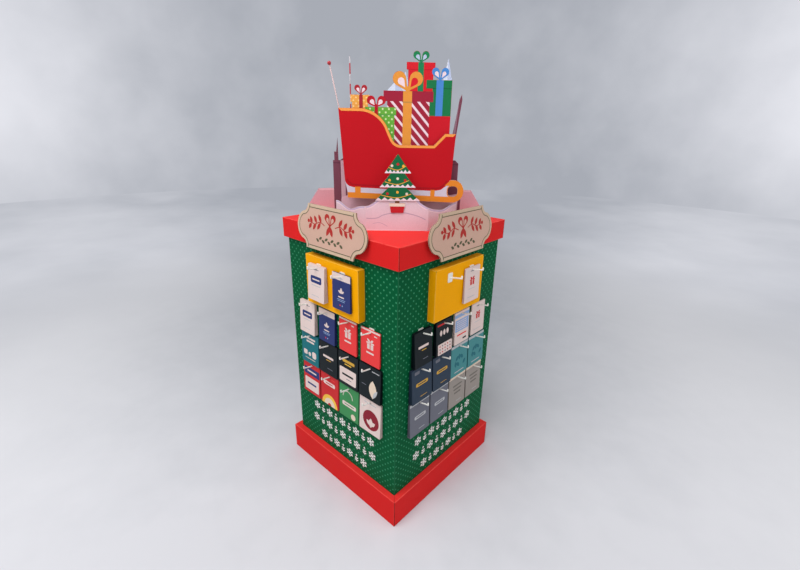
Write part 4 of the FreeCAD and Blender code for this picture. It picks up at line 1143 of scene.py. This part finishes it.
def bow(drawing, x, y, width, height, colour, insides, layer):
    """Two loops of ribbon from a knot, with what is behind showing through each."""
    for sign, inside in zip((-1, 1), insides):
        drawing.fill(bow_loop(x, y, width, height, sign, 1.0), colour, layer)
        drawing.fill(bow_loop(x, y, width, height, sign, 0.5), inside, layer + 1)
    knot = 0.07 * width
    drawing.fill(box(x - knot, x + knot, y - 2, y + 2.2 * knot, 0.8 * knot), colour, layer + 2)


def bow_loop(x, y, width, height, sign, size):
    """A teardrop loop that leans away from its knot, or a smaller one inside it."""
    radius = 0.22 * width
    centre = Vector((sign * (width / 2 - radius), height - radius))
    spread = math.asin(radius / centre.length)
    lean = math.atan2(centre.y, centre.x)
    start = lean - spread - math.pi / 2
    points = [(0.0, 0.0), *arc(*centre, radius, start, math.pi + 2 * spread, 16)]
    middle = centre * 0.62
    return [
        (x + middle.x + (a - middle.x) * size, y + middle.y + (b - middle.y) * size)
        for a, b in points
    ]


def plaque_drawing(loop):
    """The border, a bow between two sprigs and a small garland, from the sign's cut edge."""
    drawing = Print()
    drawing.fill(beside(loop, True, 11), "sign_pink", 1)
    drawing.band(loop, 10, 12.4, "olive", 2)
    bow(drawing, 0, 12, 56, 40, "sign_red", ("sign_pink", "sign_pink"), 2)
    for turn in (245, 295):
        drawing.fill(leaf(0, 14, 36, 15, turn), "sign_red", 2)
    for sign in (-1, 1):
        stem = smooth([(sign * 26, 12), (sign * 52, 20), (sign * 78, 10), (sign * 106, 16)])
        drawing.line(stem, 3, "sign_red", 2)
        for x, y, length in ((44, 19, 30), (68, 14, 28), (92, 12, 24)):
            drawing.fill(leaf(sign * x, y, length, 13, 90 - sign * 32), "sign_red", 2)
            drawing.fill(leaf(sign * (x + 4), y, length, 13, 270 + sign * 32), "sign_red", 2)
        drawing.fill(circle(sign * 112, 17, 6, 16), "sign_red", 3)
    for number in range(-4, 5):
        x = 15 * number
        drawing.fill(leaf(x - 8, -36, 18, 9, 28 if number % 2 else -28), "olive", 2)
        drawing.fill(circle(x, -43 + 10 * (number % 2), 2.8, 12), "olive", 3)
    return drawing


for side, toward, across in (("left", -Y_AXIS, X_AXIS), ("right", X_AXIS, Y_AXIS)):
    sign = "plaque_" + side
    plane, loops = front(sign, toward)
    out = plane.col[2].xyz
    dress(sign, flat_board(sign + "_board", sign, TAN, TAN, out, across, PLAQUE_BOARD))
    plaque_drawing(loops[0]).lay(sign + "_print", plane, "plaque_board")
    wedge = "plaque_wedge_" + side
    dress(wedge, flat_board(wedge + "_kraft", wedge, KRAFT, KRAFT, out, across, FOLDED_BOARD))


# Snow drift
# The front sheet of the scene: 3 mm board printed pale pink, folded back at both sides and cut
# along a wavy crest. A lilac line follows the crest, and thin ones mark the snow below it.

INKS.update({
    "lilac": (206, 190, 222),
    "snow_line": (190, 168, 192),
    "snow_light": (240, 222, 232),
})
OUT = Vector((1, -1, 0)).normalized()
ACROSS = Vector((1, 1, 0)).normalized()
CAP_TOP = Vector((0, 0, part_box("cap_lid")[1].z))
SHEET_BOARD = 3 * MM
DRIFT_PINK = ink(226, 200, 212)
DRIFT_LILAC = ink(228, 210, 222)
DRIFT_HEIGHT = 110 * MM
WING_TURN = 30
CREST_FOOT = 30


def climbs_little(start, finish):
    """True for a stretch of a crest, and not for a board's foot or its upright ends."""
    level = abs(finish[0] - start[0]) > 0.6 * abs(finish[1] - start[1])
    return level and min(start[1], finish[1]) > CREST_FOOT


def dress_sheet(sheet, board, colour):
    """Dress a sheet of the scene: its print, its white back and its cut edges."""
    material = flat_board(board, sheet, colour, WHITE_BACK, OUT, ACROSS, SHEET_BOARD)
    dress(sheet, material)
    return material


def tint_drift(material):
    """Let the drift's print turn from pale lilac at its crest to pink at its foot."""
    tree = material.node_tree
    height = split(tree, own_place(tree))["Z"]
    share = ramp(tree, height, CAP_TOP.z, CAP_TOP.z + DRIFT_HEIGHT)
    colour = mix_colours(tree, share, DRIFT_PINK, DRIFT_LILAC)
    board = next(node for node in tree.nodes if getattr(node, "node_tree", None) == cut_board)
    join(tree, colour, board.inputs["Print"])


tint_drift(dress_sheet("snow_drift", "drift_board", DRIFT_PINK))
for side, turn in (("middle", 0), ("left", -WING_TURN), ("right", WING_TURN)):
    toward = Matrix.Rotation(math.radians(turn), 3, "Z") @ OUT
    plane, loops = front("snow_drift", toward, CAP_TOP)
    drawing = Print()
    drawing.band(loops[0], 0.4, 5.5, "lilac", 1, climbs_little)
    drawing.band(loops[0], 5.5, 9.0, "snow_light", 1, climbs_little)
    if side == "middle":
        first = smooth([
            (-98, 40), (-86, 39), (-64, 41), (-46, 50), (-22, 56),
            (17, 59), (50, 53), (75, 45), (92, 37),
        ])
        second = smooth([(-78, 22), (-56, 26), (-30, 14)])
        drawing.line(first, 2.6, "snow_line", 1)
        drawing.line(second, 1.4, "snow_line", 1)
        drawing.fill(box(-99, 99, 0.6, 3.4), "snow_light", 1)
    drawing.lay("drift_print_" + side, plane, "snow_board")


# Fir tree
# A flat cut-out of a potted fir in 3 mm board, glued to the front of the drift. Three snowy tiers,
# their garlands and baubles and a banded pot are printed on it.

INKS.update({
    "fir_green": (22, 104, 62),
    "pot_red": (196, 36, 46),
    "pot_cream": (236, 222, 206),
    "bark": (116, 72, 50),
    "bauble_gold": (238, 176, 66),
})
FIR_FOOT = 59
FIR_HEIGHT = 180
FIR_HALF = 70
# Foot and top as shares of the height, then the half widths there as shares of the widest
FIR_TIERS = ((0.21, 0.46, 1.0, 0.34), (0.44, 0.70, 0.80, 0.26), (0.68, 1.0, 0.58, 0.0))
plane, loops = front("fir_cutout", OUT, CAP_TOP)
tree = Print()
tree.fill([
    (-0.28 * FIR_HALF, FIR_FOOT),
    (0.28 * FIR_HALF, FIR_FOOT),
    (0.36 * FIR_HALF, FIR_FOOT + 0.17 * FIR_HEIGHT),
    (-0.36 * FIR_HALF, FIR_FOOT + 0.17 * FIR_HEIGHT),
], "pot_red", 1)
tree.fill(box(-0.36 * FIR_HALF, 0.36 * FIR_HALF, FIR_FOOT + 20, FIR_FOOT + 30), "pot_cream", 2)
tree.fill(box(-0.10 * FIR_HALF, 0.10 * FIR_HALF, FIR_FOOT + 30.6, FIR_FOOT + 41), "bark", 1)
for number, (low, high, wide, narrow) in enumerate(FIR_TIERS):
    foot = FIR_FOOT + low * FIR_HEIGHT
    top = FIR_FOOT + high * FIR_HEIGHT
    wide *= FIR_HALF
    narrow *= FIR_HALF
    shape = [(-wide, foot), (wide, foot), (narrow, top), (-narrow, top)]
    tree.fill(shape if narrow else shape[:2] + [(0, top)], "fir_green", 1 + number)
    scallops = [(-wide, foot)]
    for step in range(7):
        x = -wide + 2 * wide * (step + 0.5) / 7
        scallops += [(x, foot + 9 + 2 * (step % 2)), (x + wide / 7, foot + 2.5)]
    tree.fill([(-wide, foot), (wide, foot)] + scallops[:0:-1], "snow_light", 2 + number)
    garland = [(-wide * 0.72, foot + 17), (0, foot + 9.5), (wide * 0.62, foot + 22)]
    tree.line(smooth(garland), 2.2, "bauble_gold", 4 + number)
    for step, share in enumerate((-0.45, 0.0, 0.42)):
        colour = ("pot_red", "bauble_gold", "pot_cream")[(step + number) % 3]
        tree.fill(circle(share * wide, foot + 22 + 5 * (step % 2), 4.2, 16), colour, 5 + number)
dress_sheet("fir_cutout", "fir_board", ink(*INKS["fir_green"]))
tree.lay("fir_print", plane, "green_board")


# Sleigh
# The largest sheet of the scene, 3 mm board: a red sleigh body with a gold trim along its cut
# upper edge, on an orange runner whose curl is cut free. Snow is printed between the two.

INKS.update({
    "sleigh_red": (192, 12, 27),
    "sleigh_deep": (168, 12, 26),
    "trim_gold": (246, 158, 76),
    "runner_orange": (228, 136, 44),
})
SIDE_FOOT = 162
TAIL_FOOT = 158
CURL_LEFT = 176
TRIM_FOOT = 255
RUNNER_TOP = 161
RUNNER_BEND = 150


def along_rim(start, finish):
    """True for a stretch of the sleigh's upper edge that isn't steep."""
    level = abs(finish[0] - start[0]) > 0.3 * abs(finish[1] - start[1])
    return level and min(start[1], finish[1]) > TRIM_FOOT


def along_curl(start, finish):
    """True for a stretch of the runner's curl, beyond its bend."""
    return max(start[1], finish[1]) < RUNNER_TOP and max(start[0], finish[0]) > RUNNER_BEND


plane, loops = front("sleigh_panel", OUT, CAP_TOP)
sleigh = Print()
rim = [(x, y) for x, y in loops[0] if y > SIDE_FOOT or (y > TAIL_FOOT and x < CURL_LEFT)]
start = max(range(len(rim)), key=lambda number: math.dist(rim[number], rim[number - 1]))
rim = rim[start:] + rim[:start]
underside = [
    (-166, 152), (-162, 143), (-153, 136), (-139, 132),
    (120, 124), (142, 128), (158, 140), (169, 157),
]
sleigh.fill(rim + underside, "sleigh_red", 1)
shade = smooth([
    (-160, 158), (-150, 146), (-128, 140), (0, 136), (118, 132), (146, 140), (160, 156),
])
sleigh.line(shade, 5, "sleigh_deep", 2)
sleigh.band(loops[0], 0.4, 8, "trim_gold", 3, along_rim)
sleigh.band(loops[0], 0.3, 18, "runner_orange", 2, along_curl)
sleigh.band(loops[1], 0.3, 3, "runner_orange", 3)
sleigh.fill([(-158.5, 99.5), (-130, 98.5), (-130, 116.2), (-158.5, 116.5)], "runner_orange", 1)
sleigh.fill(box(-135, -117, 112, 134), "runner_orange", 2)
sleigh.fill(box(108, 122, 104, 127), "runner_orange", 2)
dress_sheet("sleigh_panel", "sleigh_board", ink(212, 204, 220))
sleigh.lay("sleigh_print", plane, "red_board")


# Gifts
# One die-cut sheet behind the sleigh's side, printed as a heap of wrapped boxes with ribbons and
# bows, the red back of the seat, and three snowy peaks behind them.

INKS.update({
    "wrap_orange": (238, 164, 78),
    "wrap_orange_dot": (252, 206, 140),
    "wrap_green": (104, 172, 62),
    "wrap_green_dot": (214, 232, 170),
    "burgundy": (160, 34, 58),
    "wrap_pale": (240, 214, 222),
    "gift_red": (214, 30, 44),
    "seat_red": (202, 22, 38),
    "gift_red_dark": (186, 24, 40),
    "gift_green": (26, 118, 70),
    "gift_green_dark": (16, 92, 56),
    "ribbon_blue": (74, 136, 206),
    "ribbon_gold": (230, 150, 62),
    "ribbon_green": (30, 128, 80),
    "gold_shade": (196, 142, 70),
    "ribbon_maroon": (172, 40, 50),
    "peak": (216, 222, 240),
    "peak_shade": (186, 196, 224),
})


def dotted_ink(colour, dot_colour, pitch, radius):
    """Wrapping paper with staggered dots, in the plane of its sheet."""
    material, tree, shader = new_material(colour + "_ink")
    x, y, z = split(tree, own_place(tree))
    dots = apply_group(tree, dot_rows, Along=x, Up=y, Pitch=pitch, Radius=radius)
    wrap = mix_colours(tree, dots["Mask"], ink(*INKS[colour]), ink(*INKS[dot_colour]))
    inked_surface(tree, shader, wrap)


def striped_ink(name, first, second, slope, pitch, share):
    """Wrapping paper with slanted stripes, in the plane of its sheet."""
    material, tree, shader = new_material(name + "_ink")
    x, y, z = split(tree, own_place(tree))
    place = calculate(tree, "DIVIDE", calculate(tree, "MULTIPLY_ADD", x, slope, y), pitch)
    stripe = ramp(tree, calculate(tree, "FRACT", place), share, share + 0.03)
    inked_surface(tree, shader, mix_colours(tree, stripe, ink(*INKS[second]), ink(*INKS[first])))


dotted_ink("wrap_orange", "wrap_orange_dot", 16 * MM, 2.6 * MM)
dotted_ink("wrap_green", "wrap_green_dot", 19 * MM, 2.8 * MM)
striped_ink("striped_wrap", "burgundy", "wrap_pale", 1.1, 30 * MM, 0.32)
GIFTS_FOOT = 232.5
PALE_LOOPS = ("wrap_pale", "wrap_pale")
plane, loops = front("gift_panel", OUT, CAP_TOP)
gifts = Print()
# The back of the seat, and the three peaks with their shaded halves
gifts.fill(box(94, 160.6, GIFTS_FOOT, 349), "seat_red", 1)
for left, width, foot, height in ((-34, 48, 417, 26), (3, 34, 417, 53), (133, 26, 449, 58)):
    middle, right = left + width / 2, left + width
    gifts.fill([(left, foot), (right, foot), (middle, foot + height)], "peak", 1)
    gifts.fill([(middle, foot), (right, foot), (middle, foot + height)], "peak_shade", 2)
# The orange gift at the left
gifts.fill(box(-140, -92, 340, 386), "wrap_orange", 1)
gifts.fill(box(-144.6, -87, 385, 403.6), "wrap_orange", 2)
gifts.line([(-144.6, 385), (-87, 385)], 1.6, "bauble_gold", 3)
gifts.fill(box(-118.5, -107.5, 340, 403.6), "ribbon_maroon", 4)
bow(gifts, -113.1, 403, 38, 28, "ribbon_maroon", PALE_LOOPS, 4)
# The green gift at the right
gifts.fill(box(83.4, 160.6, 349, 448.6), "gift_green", 1)
gifts.fill(box(83.4, 160.6, 426, 448.6), "gift_green", 2)
gifts.line([(83.4, 426), (160.6, 426)], 2, "gift_green_dark", 3)
gifts.fill(box(113.5, 135, 349, 448.6), "ribbon_blue", 4)
bow(gifts, 124.3, 448, 51, 34, "ribbon_blue", PALE_LOOPS, 4)
# The red gift on top
gifts.fill(box(28.4, 102.6, 417, 477), "gift_red", 2)
gifts.fill(box(23.4, 107.6, 476, 494.6), "gift_red", 3)
gifts.line([(23.4, 475.5), (107.6, 475.5)], 1.8, "gift_red_dark", 4)
gifts.fill(box(57, 74, 417, 494.6), "ribbon_green", 5)
bow(gifts, 65.5, 494, 47.6, 30, "ribbon_green", ("peak_shade", "peak_shade"), 5)
# The striped gift in the middle
gifts.fill(box(-34, 95, GIFTS_FOOT, 388), "striped_wrap", 3)
gifts.fill(box(-44.6, 105.6, 388, 416.6), "burgundy", 4)
gifts.fill(box(14, 41, GIFTS_FOOT, 416.6), "ribbon_gold", 5)
gifts.line([(14, 386), (41, 386)], 4, "gold_shade", 6)
bow(gifts, 27.5, 416, 90, 54, "ribbon_gold", ("wrap_pale", "gift_red"), 6)
# The light green gift in front
gifts.fill(box(-95.6, -11.5, GIFTS_FOOT, 350), "wrap_green", 4)
gifts.fill(box(-100.6, -6.4, 349, 370.6), "wrap_green", 5)
gifts.line([(-100.6, 349), (-6.4, 349)], 1.6, "meadow", 6)
gifts.fill(box(-72, -61.5, GIFTS_FOOT, 370.6), "gift_red_dark", 6)
bow(gifts, -66.8, 370, 57, 32, "gift_red_dark", PALE_LOOPS, 7)
dress_sheet("gift_panel", "gift_board", ink(200, 24, 36))
gifts.lay("gift_print", plane, "red_board")


# Village
# A dark mauve silhouette of towers behind the sleigh, 3 mm board: a banded tower with a spire and
# a pale house on the left, a stepped tower and a leaning spire on the right.

INKS.update({
    "stone_dark": (98, 50, 66),
    "pale_house": (206, 164, 176),
    "mist": (150, 112, 128),
    # Partly the print's paler mauve foot, partly painted light that lightens the sleigh's shadow
    "haze": (222, 178, 192),
})
TOWER_BAND = 205
plane, loops = front("village_panel", OUT, CAP_TOP)
village = Print()
village.fill(box(-182.6, -167, 92, 212.6), "pale_house", 1)
village.line([(-182, 92), (-182, 212)], 1.6, "stone_dark", 2)
for left, right in ((-204.6, -183.4), (176.4, 197.6)):
    village.line([(left, TOWER_BAND), (right, TOWER_BAND)], 3, "stone_dark", 1)
village.fill([(163.4, 213), (176, 218), (190, 411)], "mist", 1)
# A pale band at the foot of the village: partly the print's paler mauve, and partly painted light,
# much paler than that print so as to lighten the shadow that the sleigh casts here
haze = smooth([(-182, 96), (-120, 112), (-40, 104), (50, 114), (130, 104), (203, 112)])
village.fill([(-182, 2), (203, 2), *reversed(haze)], "haze", 1)
dress_sheet("village_panel", "village_board", ink(122, 66, 82))
village.lay("village_print", plane, "mauve_board")


# Rear snow bank and spacers
# The widest sheet stands across the middle of the cap, printed pink with a pale crest. Kraft
# blocks between the sheets keep them apart and are glued to both.

INKS["bank_light"] = (236, 190, 200)
plane, loops = front("snow_bank", OUT, CAP_TOP)
bank = Print()
bank.band(loops[0], 0.4, 7, "bank_light", 1, climbs_little)
dress_sheet("snow_bank", "bank_board", ink(222, 166, 178))
bank.lay("bank_print", plane, "snow_board")
for spacer in ("sleigh_spacer_left", "sleigh_spacer_right", "gift_spacer"):
    dress(spacer, flat_board(spacer + "_kraft", spacer, KRAFT, KRAFT, OUT, ACROSS, FOLDED_BOARD))


# Paper tape
# Strips of gummed kraft tape on the plain backs of the sheets, pressed on by hand over the glued
# spacers and at the foot, where each sheet is fixed to the cap.

INKS["gummed_tape"] = (196, 160, 120)
TAPE_STRIPS = {
    # middle, foot, width and height in millimetres, and slant in degrees
    "snow_bank": ((-210, 4, 46, 62, 1.5), (0, 4, 46, 70, -1.0), (205, 4, 46, 60, 0.5)),
    "gift_panel": ((-14, 258, 224, 24, -0.6), (-126, 322, 24, 86, 1.0)),
}
for sheet, strips in TAPE_STRIPS.items():
    plane, loops = front(sheet, -OUT, CAP_TOP)
    tape = Print()
    for x, foot, width, height, slant in strips:
        lean = math.tan(math.radians(slant))
        corners = box(x - width / 2, x + width / 2, foot, foot + height, 0.8)
        tape.fill([(a - lean * (b - foot), b + lean * (a - x)) for a, b in corners], "gummed_tape")
    tape.lay(sheet + "_tape", plane, "plain_board")


# Poles
# Two thin sticks in holes of the cap: a pale one that leans out and ends in a red ball, and an
# upright one wound with a red stripe.

STICK_TOOTH = 0.03 * MM
BALL_HEIGHT = 12.6 * MM


def wound_stripe(name, first, second, pitch, share):
    """A stick with a band of colour wound round it at a steady pitch."""
    material, tree, shader = new_material(name, gloss=0.5, coat=0.15)
    height = split(tree, own_place(tree))["Z"]
    place = calculate(tree, "FRACT", calculate(tree, "DIVIDE", height, pitch))
    band = ramp(tree, place, share, share + 0.04)
    inked_surface(tree, shader, mix_colours(tree, band, first, second), 0.1, 0.6, STICK_TOOTH)
    return material


def ball_stick():
    """A pale stick up to its ball, and a red ball above."""
    material, tree, shader = new_material("ball_stick", gloss=0.5, coat=0.2)
    ball_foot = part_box("ball_pole")[1].z - BALL_HEIGHT
    on_ball = calculate(tree, "GREATER_THAN", split(tree, own_place(tree))["Z"], ball_foot)
    colour = mix_colours(tree, on_ball, ink(226, 196, 196), ink(176, 30, 44))
    inked_surface(tree, shader, colour, 0.1, 0.62, STICK_TOOTH)
    return material


dress("ball_pole", ball_stick())
dress("striped_pole", wound_stripe(
    "striped_stick", ink(186, 40, 52), ink(200, 194, 200), pitch=58 * MM, share=0.5
))


# Floor, light and camera
# A pale floor and backdrop, brighter at both sides and towards the front, a soft even sky with one
# large lamp above the front and a small one at the right, and a camera at a person's height.

LOOK = Vector((-0.673, 0.740, 0.0))
ASIDE = Vector((0.740, 0.673, 0.0))
BACKDROP_DARK = ink(168, 172, 181)
BACKDROP_PALE = ink(232, 233, 240)
FLOOR_DARK = ink(158, 162, 171)
FLOOR_MIDDLE = ink(208, 209, 216)
FLOOR_PALE = ink(232, 233, 239)
FLOOR_RADIUS = 9
FLOOR_CORNERS = 48


def cloudy(tree, place, coarse, fine, share):
    """A level around 0.5: large clouds at one scale, with a share of wisps at a finer one."""
    clouds = noise(tree, place, coarse, 5)
    wisps = calculate(tree, "SUBTRACT", noise(tree, place, fine, 6), 0.5)
    return calculate(tree, "MULTIPLY_ADD", wisps, share, clouds)


def cloud_over(tree, level, clouds, share):
    """A level that goes up and down with a share of the clouds, held between 0 and 1."""
    swing = calculate(tree, "SUBTRACT", clouds, 0.5)
    level = calculate(tree, "MULTIPLY_ADD", swing, share, level)
    return calculate(tree, "MAXIMUM", calculate(tree, "MINIMUM", level, 1.0), 0.0)


def backdrop_colour(tree, position):
    """The backdrop's colour in a direction: darker in the middle, with faint clouds."""
    direction = calculate_vector(tree, "NORMALIZE", position)
    level = calculate_vector(tree, "MULTIPLY", direction, (1, 1, 0))
    level = calculate_vector(tree, "NORMALIZE", level)
    side = ramp(tree, calculate_vector(tree, "DOT_PRODUCT", level, LOOK), 0.985, 0.70)
    height = split(tree, position)["Z"]
    side = calculate(tree, "MULTIPLY", side, ramp(tree, height, -0.16, 0.02, 0.45, 1.0))
    share = cloud_over(tree, side, cloudy(tree, direction, 3.2, 11, 0.7), 0.62)
    return mix_colours(tree, share, BACKDROP_DARK, BACKDROP_PALE)


def pale_floor():
    """A wide round floor, which passes into the backdrop where the camera sees it far away."""
    mesh = bpy.data.meshes.new("floor")
    rim = [(x, y, 0) for x, y in circle(0, 0, FLOOR_RADIUS, FLOOR_CORNERS)]
    mesh.from_pydata(rim, [], [list(range(FLOOR_CORNERS))])
    floor = bpy.data.objects.new("floor", mesh)
    bpy.context.scene.collection.objects.link(floor)
    material, tree, shader = new_material("pale_floor", gloss=0.2)
    position = own_place(tree)
    clouds = cloudy(tree, position, 2.4, 9, 0.6)
    deep = ramp(tree, calculate_vector(tree, "DOT_PRODUCT", position, LOOK), -0.7, 1.7)
    aside = calculate(tree, "ABSOLUTE", calculate_vector(tree, "DOT_PRODUCT", position, ASIDE))
    middle = mix_colours(tree, cloud_over(tree, deep, clouds, 0.4), FLOOR_MIDDLE, FLOOR_DARK)
    colour = mix_colours(tree, ramp(tree, aside, 0.5, 2.4, 0.0, 0.7), middle, FLOOR_PALE)
    join(tree, colour, shader.inputs["Base Color"])
    join(tree, ramp(tree, clouds, 0.3, 0.7, 0.7, 0.85), shader.inputs["Roughness"])
    seen = backdrop_colour(tree, calculate_vector(tree, "SUBTRACT", position, (0, 0, 9)))
    backdrop = add_node(tree, "ShaderNodeEmission", {"Color": seen, "Strength": 1.0})
    away = calculate_vector(tree, "LENGTH", position)
    looked_at = tree.nodes.new("ShaderNodeLightPath").outputs["Is Camera Ray"]
    fade = calculate(tree, "MULTIPLY", ramp(tree, away, 1.6, 4.5), looked_at)
    inputs = {0: fade, 1: shader.outputs[0], 2: backdrop.outputs[0]}
    both = add_node(tree, "ShaderNodeMixShader", inputs)
    output = next(node for node in tree.nodes if node.type == "OUTPUT_MATERIAL")
    join(tree, both.outputs[0], output.inputs["Surface"])
    mesh.materials.append(material)


def sky():
    """Soft even light from all sides, with the backdrop in front of it for the camera."""
    world = bpy.data.worlds.new("studio")
    bpy.context.scene.world = world
    world.use_nodes = True
    tree = world.node_tree
    light = tree.nodes["Background"]
    light.inputs["Color"].default_value = (1.0, 0.99, 0.97, 1.0)
    light.inputs["Strength"].default_value = 0.6
    direction = tree.nodes.new("ShaderNodeTexCoord").outputs["Generated"]
    seen = add_node(tree, "ShaderNodeBackground", {"Color": backdrop_colour(tree, direction)})
    rays = tree.nodes.new("ShaderNodeLightPath").outputs
    mirrored = calculate(tree, "MAXIMUM", rays["Is Glossy Ray"], rays["Is Transmission Ray"])
    looked_at = calculate(tree, "MAXIMUM", rays["Is Camera Ray"], mirrored)
    inputs = {0: looked_at, 1: light.outputs[0], 2: seen.outputs[0]}
    both = add_node(tree, "ShaderNodeMixShader", inputs)
    join(tree, both.outputs[0], tree.nodes["World Output"].inputs["Surface"])


def lamp(name, place, target, size, power):
    """A round lamp that faces its target."""
    light = bpy.data.lights.new(name, "AREA")
    light.shape = "DISK"
    light.size = size
    light.energy = power
    lamp_object = bpy.data.objects.new(name, light)
    bpy.context.scene.collection.objects.link(lamp_object)
    lamp_object.location = place
    aim = Vector(target) - Vector(place)
    lamp_object.rotation_euler = aim.to_track_quat("-Z", "Y").to_euler()


def camera():
    """The camera as measured from the photograph, on an 800 by 570 frame."""
    data = bpy.data.cameras.new("camera")
    focal_pixels, frame_pixels = 415.863, 800
    data.lens = data.sensor_width * focal_pixels / frame_pixels
    view = bpy.data.objects.new("camera", data)
    bpy.context.scene.collection.objects.link(view)
    yaw, pitch, roll = (math.radians(angle) for angle in (42.2903, 20.5558, 1.1893))
    turn = Matrix.Rotation(yaw, 4, "Z") @ Matrix.Rotation(math.pi / 2 - pitch, 4, "X")
    turn = turn @ Matrix.Rotation(roll, 4, "Z")
    place = (1.0480, -1.1167, 1.3496)
    view.matrix_world = Matrix.Translation(place) @ turn
    bpy.context.scene.camera = view


pale_floor()
sky()
lamp("key_light", place=(0.1, -1.9, 4.2), target=(0, 0, 0.9), size=2.6, power=118)
lamp("side_light", place=(2.8, 0.6, 2.6), target=(0, 0, 0.8), size=2.0, power=14)
camera()
bpy.context.scene.view_settings.view_transform = "Standard"
